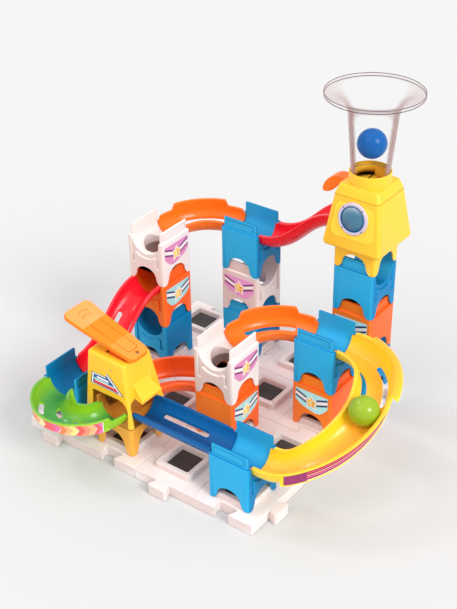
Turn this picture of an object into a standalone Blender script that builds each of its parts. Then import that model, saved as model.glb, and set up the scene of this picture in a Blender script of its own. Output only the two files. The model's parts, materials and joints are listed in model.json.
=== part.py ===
"""A marble run: a jigsaw base of four tiles, stacking tower blocks, clip-on tracks, a funnel tower and a launcher.

Metres, +Z up. The origin is under the centre of the launcher's socket, on the underside of the base.
Sockets stand on a square grid, column i along +X and row j along +Y, and each block adds one level.
"""

import math

import bmesh
import bpy
from mathutils import Matrix, Vector

# Driving dimensions
MARBLE_RADIUS = 0.0125
PITCH = 0.060
LEVEL = 0.0433
BLOCK = 0.040
BASE_THICKNESS = 0.010
GAP = 0.0003
WALL = 0.0018

# Base tiles
TILE = 2 * PITCH
SOCKET = 0.0360
SOCKET_HEIGHT = 0.0055
SOCKET_MOUTH_HALF = 0.0134
WELL_HALF = 0.0118
PAD_DEPTH = 0.0034
PAD_THICKNESS = 0.0030
TAB_REACH = 0.0090
TAB_NECK = 0.0062
TAB_HEAD = 0.0094
COLUMNS = (-1, 0, 1, 2)
ROWS = (0, 1, 2, 3)

# Blocks
BLOCK_TOP = 0.0530
BAND_INSET = 0.0019
CHANNEL_RADIUS = 0.0160
CHANNEL_CENTRE = 0.0440
SKIRT_WALL = 0.0016
CEILING = 0.0250
ARCH_HEIGHT = 0.0150
ARCH_SHOULDER = 0.0060
ARCH_HALF = 0.0115
ARCH_FOOT = 0.0155
END_RECESS = 0.0014
END_RECESS_HALF = 0.0155
END_RECESS_LOW = 0.0190
DROP_RADIUS = 0.0134

# Tracks
TRACK_OUTER = CHANNEL_RADIUS - GAP
TRACK_INNER = TRACK_OUTER - WALL
TRACK_TUCK = 0.0030
ARC_STEPS = 8
SLOT_OFFSET = 0.0085
SLOT_HALF = 0.0021
FLANGE_REACH = 0.0220
FLANGE_RISE = 0.0036
SKIRT_THICKNESS = 0.0009
FIN_PEAK = 0.50
FIN_SPREAD = 0.08
FIN_RISE = 0.0110
GREEN_SLOTS = ((0.0082, 0.18, 0.28), (-0.0060, 0.27, 0.38), (-0.0060, 0.60, 0.71))
GREEN_GUARD = (
    (0.0, 0.0004),
    (0.05, 0.0012),
    (0.12, 0.0026),
    (0.35, 0.0014),
    (0.45, 0.0018),
    (0.60, 0.0028),
    (0.70, 0.0038),
    (0.85, 0.0047),
    (0.90, 0.0006),
    (1.0, 0.0004),
)

# Funnel house, heights above its own foot
HOUSE_PLACE = (2, 3, 3)
FLARE_LOW_HALF = 0.0280
FLARE_LOW = 0.0220
CREASE_HALF = 0.0215
CREASE = 0.0680
ROOF_HALF = 0.0185
ROOF = 0.0770
COLLAR_RADIUS = 0.0178
COLLAR_TOP = 0.0870
BORE_RADIUS = 0.0142
FUNNEL_FOOT = 0.0162
FUNNEL_SEAT = 0.0169
FUNNEL_WAIST = 0.0205
FUNNEL_RIM = 0.0406
FUNNEL_WALL = 0.0014
FUNNEL_LOW = 0.0843
FUNNEL_WAIST_Z = 0.1320
FUNNEL_TOP = 0.1531
PORTHOLE_RADIUS = 0.0140
LENS_RADIUS = 0.0107
PORTHOLE_Z = 0.0515
GATE_LOW = 0.0726
GATE_TOP = 0.0750
GATE_HALF = 0.0134
HANDLE_HALF = 0.0060

# Launcher, heights above the base's top
FRAME_TOP = 0.0280
FRAME_ARCH = 0.0200
BODY_LOW = 0.0290
BODY_TOP = 0.0880
BODY_WALL = 0.0020
BODY_FOOT = (-0.0310, 0.0210, -0.0205, 0.0270)
BODY_CROWN = (-0.0270, 0.0130, -0.0165, 0.0177)
ROOF_SLOPE = 0.060
SEAT_HALF_X = (-0.0176, 0.0158)
SEAT_HALF_Y = 0.0196
SEAT_TOP = 0.0490
KICKER_HALF = 0.0088
PIN_RADIUS = 0.0012
PIN_HOLE = 0.0015
PIVOT_X, PIVOT_Z = 0.0040, 0.0820
PADDLE_TILT = math.radians(16.3)
PADDLE_THICKNESS = 0.0050
PADDLE_REACH = 0.0595
PADDLE_TAIL = 0.0155
PADDLE_TAIL_HALF = 0.0116
PADDLE_REACH_HALF = 0.0158
PADDLE_RISE = 0.0157
KICKER_X, KICKER_Z = -0.0160, 0.0720
KICKER_LENGTH = 0.0360

BASE_TOP = BASE_THICKNESS
ROUND_STEPS = 20

BLUE = (0.000, 0.280, 0.690)
DEEP_BLUE = (0.000, 0.078, 0.342)
ORANGE = (1.000, 0.150, 0.010)
RED_ORANGE = (0.900, 0.090, 0.020)
AMBER = (1.000, 0.370, 0.010)
WHITE = (0.880, 0.840, 0.820)
BLACK = (0.040, 0.030, 0.026)
YELLOW = (1.000, 0.720, 0.030)
WARM_YELLOW = (0.960, 0.440, 0.040)
GREEN = (0.200, 0.560, 0.020)
RED = (0.850, 0.010, 0.030)
CLEAR = (0.900, 0.850, 0.830)
LILAC = (0.620, 0.560, 0.660)
TEAL = (0.060, 0.280, 0.420)
MARBLE_BLUE = (0.000, 0.120, 0.500)
MARBLE_GREEN = (0.380, 0.600, 0.020)
STEEL = (0.600, 0.600, 0.620)
BROWN = (0.520, 0.210, 0.050)


# Scene helpers


def clear_scene():
    for obj in list(bpy.data.objects):
        bpy.data.objects.remove(obj, do_unlink=True)


def new_collection(name, hidden=False):
    collection = bpy.data.collections.new(name)
    collection.hide_render = hidden
    bpy.context.scene.collection.children.link(collection)
    return collection


def material(name, colour, roughness=0.35, metallic=0.0):
    found = bpy.data.materials.get(name)
    if found:
        return found
    made = bpy.data.materials.new(name)
    made.use_nodes = True
    shader = made.node_tree.nodes["Principled BSDF"]
    shader.inputs["Base Color"].default_value = (*colour, 1.0)
    shader.inputs["Roughness"].default_value = roughness
    shader.inputs["Metallic"].default_value = metallic
    return made


def object_from(name, bm, closed=True):
    """A cutter or template object from a bmesh. It stays hidden; node() shows its finished mesh."""
    if closed:
        bmesh.ops.recalc_face_normals(bm, faces=bm.faces)
    mesh = bpy.data.meshes.new(name)
    bm.to_mesh(mesh)
    bm.free()
    obj = bpy.data.objects.new(name, mesh)
    obj.hide_render = True
    obj.display_type = "WIRE"
    CUTTERS.objects.link(obj)
    return obj


def boolean(obj, operation, others):
    for other in others:
        modifier = obj.modifiers.new(operation.title(), "BOOLEAN")
        modifier.operation = operation
        modifier.object = other
        modifier.solver = "EXACT"
    return obj


def cut(obj, *cutters):
    return boolean(obj, "DIFFERENCE", cutters)


def join(obj, *others):
    return boolean(obj, "UNION", others)


def node(template, name, finish, location=(0, 0, 0), turn=0.0):
    """The template's finished mesh as a visible sub-part, turned about Z and placed."""
    evaluated = template.evaluated_get(bpy.context.evaluated_depsgraph_get())
    mesh = bpy.data.meshes.new_from_object(evaluated)
    mesh.name = name
    mesh.materials.clear()
    mesh.materials.append(finish)
    mesh.shade_smooth()
    mesh.set_sharp_from_angle(angle=math.radians(35))
    obj = bpy.data.objects.new(name, mesh)
    obj.location = location
    obj.rotation_euler = (0, 0, turn)
    PARTS.objects.link(obj)
    return obj


# Outlines and solids


def arc(centre, radius, start, end, steps):
    """Points on an arc from start to end, angles in degrees."""
    turns = [math.radians(start + (end - start) * k / steps) for k in range(steps + 1)]
    return [(centre[0] + radius * math.cos(a), centre[1] + radius * math.sin(a)) for a in turns]


def rounded_box(low_x, high_x, low_y, high_y, radius, steps=1):
    corners = (
        ((high_x - radius, high_y - radius), 0),
        ((low_x + radius, high_y - radius), 90),
        ((low_x + radius, low_y + radius), 180),
        ((high_x - radius, low_y + radius), 270),
    )
    return [point for centre, start in corners for point in arc(centre, radius, start, start + 90, steps)]


def rounded_square(half, radius, steps=1):
    return rounded_box(-half, half, -half, half, radius, steps)


def box_outline(low_x, high_x, low_y, high_y):
    return [(low_x, low_y), (high_x, low_y), (high_x, high_y), (low_x, high_y)]


def loft(name, sections, along="Z"):
    """A closed solid through sections, each an outline of the same number of points and a distance along the axis.

    Along X the outline lies in Y and Z; along Y it lies in X and Z.
    """
    place = {
        "X": lambda a, b, distance: (distance, a, b),
        "Y": lambda a, b, distance: (a, distance, b),
        "Z": lambda a, b, distance: (a, b, distance),
    }[along]
    bm = bmesh.new()
    rings = [[bm.verts.new(place(a, b, distance)) for a, b in outline] for outline, distance in sections]
    for lower, upper in zip(rings, rings[1:]):
        for k in range(len(lower)):
            after = (k + 1) % len(lower)
            bm.faces.new((lower[k], lower[after], upper[after], upper[k]))
    bm.faces.new(rings[0][::-1])
    bm.faces.new(rings[-1])
    return object_from(name, bm)


def prism(name, outline, low, high, along="Z"):
    return loft(name, [(outline, low), (outline, high)], along)


def cylinder(name, radius, low, high, along="Z", centre=(0, 0), steps=ROUND_STEPS):
    return prism(name, arc(centre, radius, 0, 360 - 360 / steps, steps - 1), low, high, along)


def turned(name, profile, steps=ROUND_STEPS):
    """A solid of revolution about Z, from a closed profile of (radius, height) points."""
    bm = bmesh.new()
    points = [bm.verts.new((radius, 0, height)) for radius, height in profile]
    edges = [bm.edges.new(pair) for pair in zip(points, points[1:] + points[:1])]
    bmesh.ops.spin(
        bm, geom=points + edges, cent=(0, 0, 0), axis=(0, 0, 1), angle=2 * math.pi, steps=steps, use_merge=True
    )
    bmesh.ops.remove_doubles(bm, verts=bm.verts, dist=1e-6)
    return object_from(name, bm)


def placed(obj, matrix):
    obj.data.transform(matrix)
    return obj


def grid_point(column, row, height=0.0):
    """A place over a socket, at a height above the base's top surface."""
    return Vector((column * PITCH, row * PITCH, BASE_TOP + height))


# Base


def tile_side():
    """One side of a tile along +X from (0, 0): a dovetail tab out to -Y, then a notch cut in to +Y."""
    length = TILE - GAP
    points = [(0.0, 0.0)]
    for middle, sign, slack in ((length / 2 - PITCH / 2, -1, 0.0), (length / 2 + PITCH / 2, 1, GAP)):
        neck = TAB_NECK + slack
        head = TAB_HEAD + slack
        reach = TAB_REACH + slack
        half = [(neck, 0.0), (head, reach * 0.8), (head - 0.0018, reach)]
        points += [(middle - x, sign * y) for x, y in half]
        points += [(middle + x, sign * y) for x, y in half[::-1]]
    return points


def tile_outline():
    """A square centred on the origin. Each side has a tab at its first socket and a notch at its second."""
    half = (TILE - GAP) / 2
    points = []
    for quarter in range(4):
        turn = Matrix.Rotation(quarter * math.pi / 2, 2)
        points += [tuple(turn @ Vector((x - half, y - half))) for x, y in tile_side()]
    return points


def make_base():
    """Four tiles, each with four raised square sockets, and a black pad at the bottom of each socket."""
    tile = prism("tile_form", tile_outline(), 0, BASE_THICKNESS)
    rim = BASE_THICKNESS + SOCKET_HEIGHT
    places = [Matrix.Translation((x * PITCH / 2, y * PITCH / 2, 0)) for x in (-1, 1) for y in (-1, 1)]
    for place in places:
        raised = loft(
            "socket_form",
            [
                (rounded_square(SOCKET / 2, 0.003), BASE_THICKNESS - 0.002),
                (rounded_square(SOCKET / 2, 0.003), rim - 0.0008),
                (rounded_square(SOCKET / 2 - 0.0008, 0.0025), rim),
            ],
        )
        join(tile, placed(raised, place))
    for place in places:
        well = loft(
            "socket_well",
            [
                (rounded_square(WELL_HALF, 0.0015), rim - PAD_DEPTH - PAD_THICKNESS - GAP),
                (rounded_square(WELL_HALF, 0.0015), rim - PAD_DEPTH),
                (rounded_square(SOCKET_MOUTH_HALF, 0.002), rim + 0.0001),
            ],
        )
        cut(tile, placed(well, place))
    pad = prism("pad_form", rounded_square(WELL_HALF - GAP, 0.0012), 0, PAD_THICKNESS)
    white = material("white_plastic", WHITE)
    black = material("black_rubber", BLACK, roughness=0.7)
    for column in COLUMNS[::2]:
        for row in ROWS[::2]:
            middle = grid_point(column + 0.5, row + 0.5)
            node(tile, f"base_tile_{column + 2}_{row + 1}", white, (middle.x, middle.y, 0))
    for column in COLUMNS:
        for row in ROWS:
            place = grid_point(column, row)
            place.z = rim - PAD_DEPTH - PAD_THICKNESS
            node(pad, f"socket_pad_{column + 2}_{row + 1}", black, place)


# Blocks


def arch_outline(height, half=ARCH_HALF, foot=ARCH_FOOT, shoulder=ARCH_SHOULDER):
    """A bell-shaped arch: a half ellipse on top of legs that flare to a wider foot."""
    crown = [
        (half * math.cos(math.radians(a)), shoulder + (height - shoulder) * math.sin(math.radians(a)))
        for a in range(0, 181, 36)
    ]
    flare = [(foot, -0.001), (half + 0.0012, shoulder * 0.5)]
    return flare + crown + [(-x, z) for x, z in flare[::-1]]


def arches(height):
    """Cutters for an arch through each pair of walls."""
    outline = arch_outline(height)
    return [prism("arch", outline, -BLOCK, BLOCK, along) for along in "XY"]


def channel_outline(top):
    """The U section of a marble channel, open at the top."""
    floor = arc((0, CHANNEL_CENTRE), CHANNEL_RADIUS, 180, 360, 8)
    return floor + [(CHANNEL_RADIUS, top), (-CHANNEL_RADIUS, top)]


def block_form(name):
    """A hollow square block on four legs, with a narrower band on top for the next block's skirt."""
    body = prism(name, rounded_square(BLOCK / 2, 0.0025), 0, LEVEL - GAP)
    band = prism("band", rounded_square(BLOCK / 2 - BAND_INSET, 0.0018), LEVEL - 0.004, BLOCK_TOP)
    inside = prism("skirt_inside", rounded_square(BLOCK / 2 - SKIRT_WALL, 0.0016), -0.001, CEILING)
    join(body, band)
    return cut(body, inside, *arches(ARCH_HEIGHT))


def end_recess(sign):
    """The shallow seat for a track's clip at the open end on the -Y or +Y side."""
    near, far = sorted((sign * (BLOCK / 2 - END_RECESS), sign * BLOCK))
    outline = box_outline(-END_RECESS_HALF, END_RECESS_HALF, END_RECESS_LOW, BLOCK_TOP + 0.002)
    return prism("end_recess", outline, near, far, "Y")


def through_block():
    """A channel right through along Y."""
    channel = prism("channel", channel_outline(BLOCK_TOP + 0.003), -BLOCK, BLOCK, "Y")
    return cut(block_form("through_form"), channel, end_recess(-1), end_recess(1))


def drop_block():
    """A channel along Y whose floor has a hole to the block below."""
    channel = prism("channel", channel_outline(BLOCK_TOP + 0.003), -BLOCK, BLOCK, "Y")
    hole = cylinder("drop_hole", DROP_RADIUS, CEILING - 0.003, CHANNEL_CENTRE)
    return cut(block_form("drop_form"), channel, hole, end_recess(-1), end_recess(1))


def catch_block():
    """A bowl under a drop block, with its way out to -Y."""
    channel = prism("channel", channel_outline(BLOCK_TOP + 0.003), -BLOCK, 0.0, "Y")
    radius = CHANNEL_RADIUS - 0.0008
    bowl = turned(
        "bowl",
        [(0, BLOCK_TOP + 0.002), (0, CHANNEL_CENTRE - radius)]
        + [
            (radius * math.sin(math.radians(a)), CHANNEL_CENTRE - radius * math.cos(math.radians(a)))
            for a in (30, 60, 90)
        ]
        + [(radius, BLOCK_TOP + 0.002)],
        steps=16,
    )
    return cut(block_form("catch_form"), channel, bowl, end_recess(-1))


def make_blocks():
    """The towers. Each entry is a block's name, form, colour, place and quarter turns."""
    through, drop, catch = through_block(), drop_block(), catch_block()
    blue = material("blue_plastic", BLUE)
    orange = material("orange_plastic", ORANGE)
    white = material("white_plastic", WHITE)
    blocks = (
        ("tower_a_block_1", through, blue, (-1, 2, 0), 0),
        ("tower_a_block_2", catch, orange, (-1, 2, 1), 0),
        ("tower_a_block_3", drop, white, (-1, 2, 2), 0),
        ("tower_b_block_1", through, blue, (0, 3, 0), 1),
        ("tower_b_block_2", drop, white, (0, 3, 1), 1),
        ("tower_b_block_3", through, blue, (0, 3, 2), 1),
        ("tower_c_block_1", catch, orange, (1, 1, 0), -1),
        ("tower_c_block_2", drop, white, (1, 1, 1), 0),
        ("tower_d_block_1", catch, orange, (2, 2, 0), 2),
        ("tower_d_block_2", through, blue, (2, 2, 1), 1),
        ("tower_e_block_1", through, blue, (2, 3, 0), 1),
        ("tower_e_block_2", catch, orange, (2, 3, 1), 2),
        ("tower_e_block_3", through, blue, (2, 3, 2), 1),
        ("end_block_left", through, blue, (-1, 0, 0), 0),
        ("end_block_front", through, blue, (2, 0, 0), 1),
    )
    for name, form, finish, (column, row, level), quarters in blocks:
        node(form, name, finish, grid_point(column, row, level * LEVEL + GAP), quarters * math.pi / 2)


# Tracks


def soft_ramp(fraction, ease):
    """From 0 to 1 at an even slope, with both ends levelled out over the fraction ease."""
    if fraction < ease:
        return fraction**2 / (2 * ease * (1 - ease))
    if fraction > 1 - ease:
        return 1 - (1 - fraction) ** 2 / (2 * ease * (1 - ease))
    return (fraction - ease / 2) / (1 - ease)


def bend(centre, radii, start, sweep, low, high, climb=(0.0, 1.0)):
    """An elliptic bend. Returns its length and a function from distance to place and outward side.

    Between the two fractions of climb, its height goes from low to high.
    """
    across, along = radii
    length = (across + along) / 2 * abs(math.radians(sweep))
    sign = math.copysign(1, sweep)

    def at(distance):
        run = min(max(distance, 0.0), length)
        angle = math.radians(start + sweep * run / length)
        heading = sign * Vector((-across * math.sin(angle), along * math.cos(angle), 0)).normalized()
        outward = sign * Vector((heading.y, -heading.x, 0))
        place = grid_point(*centre) + Vector((across * math.cos(angle), along * math.sin(angle), 0))
        place += (distance - run) * heading
        share = min(max((run / length - climb[0]) / (climb[1] - climb[0]), 0.0), 1.0)
        place.z = BASE_TOP + CHANNEL_CENTRE + GAP + low + (high - low) * soft_ramp(share, 0.15)
        return place, outward

    return length, at


def straight(start, end, low, high):
    """A straight track from one block's face to another's, with its outward side on its left."""
    first, last = grid_point(*start), grid_point(*end)
    length = (last - first).length
    heading = (last - first) / length
    outward = Vector((-heading.y, heading.x, 0))

    def at(distance):
        run = min(max(distance, 0.0), length)
        place = first + heading * distance
        place.z = BASE_TOP + CHANNEL_CENTRE + GAP + low + (high - low) * soft_ramp(run / length, 0.45)
        return place, outward

    return length, at


def no_guard(_fraction):
    return 0.0


def stepped_guard(low, high, first, last, ramp=0.03):
    """A guard wall of two heights: low at the ends and high between the fractions first and last."""

    def height(fraction):
        rise = min(max((fraction - first) / ramp + 0.5, 0.0), 1.0)
        fall = min(max((last - fraction) / ramp + 0.5, 0.0), 1.0)
        return low + (high - low) * min(rise, fall)

    return height


def guard_through(stations):
    """A guard wall whose height runs straight from each (fraction, height) station to the next."""

    def height(fraction):
        for (first, low), (second, high) in zip(stations, stations[1:]):
            if fraction <= second:
                return low + (high - low) * (fraction - first) / (second - first)
        return stations[-1][1]

    return height


def end_trims(route):
    """Cutters that lower a track's two tucked ends, so that the next block's skirt fits over them."""
    length, at = route
    trims = []
    for outer, inner in ((-2 * TRACK_TUCK, GAP), (length + 2 * TRACK_TUCK, length - GAP)):
        corners = []
        for distance, sides in ((outer, (-1, 1)), (inner, (1, -1))):
            place, outward = at(distance)
            corners += [place + side * BLOCK / 2 * outward for side in sides]
        low = corners[0].z - 3 * GAP - (CHANNEL_CENTRE - LEVEL)
        trims.append(prism("end_trim", [(point.x, point.y) for point in corners], low, low + BLOCK))
    return trims


def trough(name, route, steps, guard=no_guard):
    """An open shell: a half-round trough swept along a route, with a guard wall on its outward side."""
    length, at = route
    fractions = {k / steps for k in range(steps + 1)}
    distances = sorted([-TRACK_TUCK] + [f * length for f in fractions] + [length + TRACK_TUCK])
    angles = [math.radians(-90 + 180 * k / ARC_STEPS) for k in range(ARC_STEPS + 1)]
    bm = bmesh.new()
    rows = []
    for distance in distances:
        place, outward = at(distance)
        section = [(TRACK_INNER * math.sin(a), -TRACK_INNER * math.cos(a)) for a in angles]
        if guard is not no_guard:
            inside = 0.0 <= distance <= length
            section.append((TRACK_INNER, guard(distance / length) if inside else guard(0.0)))
        rows.append([bm.verts.new(place + side * outward + Vector((0, 0, up))) for side, up in section])
    for before, after in zip(rows, rows[1:]):
        for k in range(len(before) - 1):
            bm.faces.new((before[k], after[k], after[k + 1], before[k + 1]))
    (first, outward), (second, _) = at(0.0), at(length * 0.01)
    faces_down = (second - first).cross(outward).z < 0
    shell = object_from(name, bm, closed=False)
    solidify = shell.modifiers.new("Solidify", "SOLIDIFY")
    solidify.thickness = WALL
    solidify.offset = 1 if faces_down else -1
    solidify.use_even_offset = True
    return cut(shell, *end_trims(route))


def swept(name, route, section, start, end, steps):
    """A closed solid along a route between two fractions. Its section is a function of the fraction."""
    length, at = route
    bm = bmesh.new()
    rings = []
    for k in range(steps + 1):
        fraction = start + (end - start) * k / steps
        place, outward = at(length * fraction)
        outline = section(fraction)
        rings.append([bm.verts.new(place + side * outward + Vector((0, 0, up))) for side, up in outline])
    for before, after in zip(rings, rings[1:]):
        for k in range(len(before)):
            follow = (k + 1) % len(before)
            bm.faces.new((before[k], after[k], after[follow], before[follow]))
    bm.faces.new(rings[0][::-1])
    bm.faces.new(rings[-1])
    return object_from(name, bm)


def flange_section(_fraction):
    """A wide lip curled outward and down from the rim."""
    reach, rise = FLANGE_REACH, FLANGE_RISE
    return [
        (TRACK_INNER + 0.0004, -0.0012),
        (TRACK_INNER + 0.0004, rise * 0.55),
        (TRACK_INNER + 0.0018, rise * 0.95),
        (reach - 0.0045, rise),
        (reach - 0.0018, rise * 0.6),
        (reach, 0.0),
        (reach - 0.0012, -0.0010),
        (reach - 0.0030, rise * 0.25),
        (reach - 0.0052, rise - WALL),
        (TRACK_OUTER - 0.0002, rise - WALL),
        (TRACK_OUTER - 0.0002, -0.0012),
    ]


def skirt_section(drop):
    """An upright wall hanging from the outward rim. Its drop is a function of the fraction."""

    def section(fraction):
        inner, outer = TRACK_OUTER - SKIRT_THICKNESS, TRACK_OUTER + GAP
        low = -drop(fraction)
        return [(inner, low), (outer, low), (outer, -0.0006), (inner, -0.0006)]

    return section


def fin_section(fraction):
    """The inner wall's fin, highest at the middle of a half-turn bend."""
    inner, outer = -TRACK_OUTER + 0.0002, -TRACK_INNER - 0.0004
    high = 0.0004 + FIN_RISE * max(0.0, 1 - abs(fraction - FIN_PEAK) / FIN_SPREAD)
    return [(inner, -0.0030), (outer, -0.0030), (outer, high), (inner, high)]


def slot(route, side, start, end, steps=4):
    """A cutter for a long round-ended slot through a trough's floor, between two fractions of its route."""
    length, at = route
    edge_in, edge_out = [], []
    places = [at(length * (start + (end - start) * k / steps)) for k in range(steps + 1)]
    for place, outward in places:
        edge_in.append(place + (side - SLOT_HALF) * outward)
        edge_out.append(place + (side + SLOT_HALF) * outward)
    ends = []
    for last, before in ((0, 1), (-1, -2)):
        middle = (edge_in[last] + edge_out[last]) / 2
        ends.append(middle + (edge_in[last] - edge_in[before]).normalized() * SLOT_HALF)
    outline = [ends[0], *edge_out, ends[1], *edge_in[::-1]]
    low = min(place.z for place, _ in places) - CHANNEL_RADIUS
    high = max(place.z for place, _ in places)
    return prism("track_slot", [(point.x, point.y) for point in outline], low, high)


def long_bend():
    """The route of the long climbing curve between the two right-hand towers."""
    return bend((7 / 3, 1), (0.0525, 0.060), -90, 180, 0, LEVEL, climb=(0.05, 0.72))


def make_tracks():
    half = BLOCK / 2 / PITCH
    orange = material("orange_plastic", ORANGE)
    red = material("red_plastic", RED)
    guard = stepped_guard(0.0008, 0.0068, 0.20, 0.80)

    bends = (
        ("upper_curve", (-1 / 3, 7 / 3), 2, orange),
        ("middle_curve", (5 / 3, 4 / 3), 1, orange),
        ("lower_curve", (2 / 3, 1 / 3), 0, material("red_orange_plastic", RED_ORANGE)),
    )
    for name, centre, level, finish in bends:
        route = bend(centre, (0.040, 0.040), 90, 90, level * LEVEL, level * LEVEL)
        track = trough(f"{name}_form", route, 9, guard)
        cut(track, slot(route, SLOT_OFFSET, 0.22, 0.78), slot(route, -SLOT_OFFSET, 0.22, 0.78))
        node(track, name, finish)

    route = long_bend()
    track = trough("long_curve_form", route, 18, stepped_guard(0.0010, 0.0020, 0.55, 0.97))
    hanging = skirt_section(lambda fraction: 0.0112 - 0.0042 * min(max((fraction - 0.30) / 0.30, 0.0), 1.0))
    join(track, swept("skirt_form", route, hanging, 0.105, 0.95, 17))
    join(track, swept("flange_form", route, flange_section, 0.585, 0.92, 7))
    cut(track, slot(route, SLOT_OFFSET, 0.60, 0.82), slot(route, -SLOT_OFFSET, 0.60, 0.82))
    node(track, "long_curve", material("yellow_plastic", YELLOW))

    route = bend((-0.5, -1 / 3), (0.030, 0.030), 180, 180, 0, 0)
    track = trough("green_curve_form", route, 20, guard_through(GREEN_GUARD))
    join(track, swept("skirt_form", route, skirt_section(lambda _fraction: 0.0068), 0.04, 0.88, 12))
    join(track, swept("fin_form", route, fin_section, FIN_PEAK - FIN_SPREAD, FIN_PEAK + FIN_SPREAD, 6))
    for side, start, end in GREEN_SLOTS:
        cut(track, slot(route, side, start, end))
    node(track, "green_curve", material("green_plastic", GREEN))

    route = straight((half, 0), (2 - half, 0), 0, 0)
    track = trough("launch_track_form", route, 1)
    cut(track, slot(route, SLOT_OFFSET, 0.18, 0.72, 1), slot(route, -SLOT_OFFSET, 0.18, 0.72, 1))
    node(track, "launch_track", material("deep_blue_plastic", DEEP_BLUE))

    route = straight((2 - half, 3), (half, 3), 3 * LEVEL, 2 * LEVEL)
    node(trough("upper_slide_form", route, 10), "upper_slide", red)

    route = straight((-1, 2 - half), (-1, half), LEVEL, 0)
    track = trough("lower_slide_form", route, 10)
    cut(track, slot(route, SLOT_OFFSET, 0.36, 0.64, 4), slot(route, -SLOT_OFFSET, 0.36, 0.64, 4))
    node(track, "lower_slide", red)


# Funnel house


def house_point():
    column, row, level = HOUSE_PLACE
    return grid_point(column, row, level * LEVEL + GAP)


def house_body():
    """A tapering house on block legs, with a bore down from its collar and a way out to -X."""
    corner = 0.0028
    body = prism("house_form", rounded_square(BLOCK / 2, 0.0025), 0, FLARE_LOW + 0.004)
    flare = loft(
        "flare",
        [
            (rounded_square(FLARE_LOW_HALF, corner), FLARE_LOW),
            (rounded_square(CREASE_HALF, corner), CREASE),
            (rounded_square(ROOF_HALF, corner), ROOF),
        ],
    )
    collar = cylinder("collar", COLLAR_RADIUS, CREASE, COLLAR_TOP)
    join(body, flare, collar)
    inside = prism("house_inside", rounded_square(BLOCK / 2 - SKIRT_WALL, 0.0016), -0.001, CEILING)
    bore = turned(
        "bore",
        [(0, COLLAR_TOP + 0.001), (0, CHANNEL_CENTRE - BORE_RADIUS)]
        + [
            (BORE_RADIUS * math.sin(math.radians(a)), CHANNEL_CENTRE - BORE_RADIUS * math.cos(math.radians(a)))
            for a in (30, 60, 90)
        ]
        + [(BORE_RADIUS, COLLAR_TOP + 0.001)],
    )
    seat = cylinder("funnel_seat", FUNNEL_SEAT, FUNNEL_LOW - GAP, COLLAR_TOP + 0.001)
    exit_top = [
        (CHANNEL_RADIUS * math.cos(math.radians(a)), 0.048 + 0.010 * math.sin(math.radians(a)))
        for a in range(0, 181, 20)
    ]
    exit_outline = arc((0, CHANNEL_CENTRE), CHANNEL_RADIUS, 180, 360, 8) + exit_top
    way_out = prism("way_out", exit_outline, -2 * BLOCK, 0.0, "X")
    notch_half = CHANNEL_RADIUS + 0.0006
    notch_outline = box_outline(-notch_half, notch_half, FLARE_LOW - 0.002, CHANNEL_CENTRE)
    notch = prism("flare_notch", notch_outline, -BLOCK, -BLOCK / 2, "X")
    gate_half = GATE_HALF + GAP
    gate_outline = box_outline(-BLOCK, 0.0, -gate_half, gate_half)
    gate_slot = prism("gate_slot", gate_outline, GATE_LOW - GAP, GATE_TOP + GAP)
    return cut(body, inside, *arches(ARCH_HEIGHT), bore, seat, way_out, notch, gate_slot)


def funnel():
    """A thin trumpet: a slightly tapering tube that flares to a wide level rim."""
    flare = [
        (
            FUNNEL_WAIST + (FUNNEL_RIM - FUNNEL_WAIST) * (1 - math.cos(math.radians(a))),
            FUNNEL_WAIST_Z + (FUNNEL_TOP - FUNNEL_WAIST_Z) * math.sin(math.radians(a)),
        )
        for a in range(0, 91, 18)
    ]
    outer = [(FUNNEL_FOOT, FUNNEL_LOW), *flare]
    inner = []
    for k, (radius, height) in enumerate(outer):
        before, after = outer[max(k - 1, 0)], outer[min(k + 1, len(outer) - 1)]
        run, rise = after[0] - before[0], after[1] - before[1]
        size = math.hypot(run, rise)
        inner.append((radius - FUNNEL_WALL * rise / size, height + FUNNEL_WALL * run / size))
    inner[0] = (inner[0][0], FUNNEL_LOW)
    inner[-1] = (FUNNEL_RIM, FUNNEL_TOP + FUNNEL_WALL)
    return turned("funnel_form", outer + inner[::-1], steps=24)


def release_gate():
    """A round-ended plate across the bore, whose hooked handle is pulled out to -X to drop the marble."""
    plate = prism(
        "gate_form",
        arc((0, 0), GATE_HALF, -90, 90, 12) + [(-0.0215, GATE_HALF), (-0.0215, -GATE_HALF)],
        GATE_LOW,
        GATE_TOP,
    )
    hook = [
        (-0.0205, GATE_LOW),
        (-0.0205, GATE_TOP),
        (-0.0240, 0.0752),
        (-0.0272, 0.0753),
        (-0.0304, 0.0748),
        (-0.0335, 0.0734),
        (-0.0365, 0.0711),
        (-0.0392, 0.0680),
        (-0.0411, 0.0645),
        (-0.0420, 0.0612),
        (-0.0418, 0.0592),
        (-0.0405, 0.0582),
        (-0.0383, 0.0584),
        (-0.0352, 0.0594),
        (-0.0322, 0.0612),
        (-0.0294, 0.0640),
        (-0.0270, 0.0674),
        (-0.0245, 0.0704),
        (-0.0226, 0.0718),
    ]
    handle = prism("gate_handle", hook, -HANDLE_HALF, HANDLE_HALF, "Y")
    return join(plate, handle)


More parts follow.
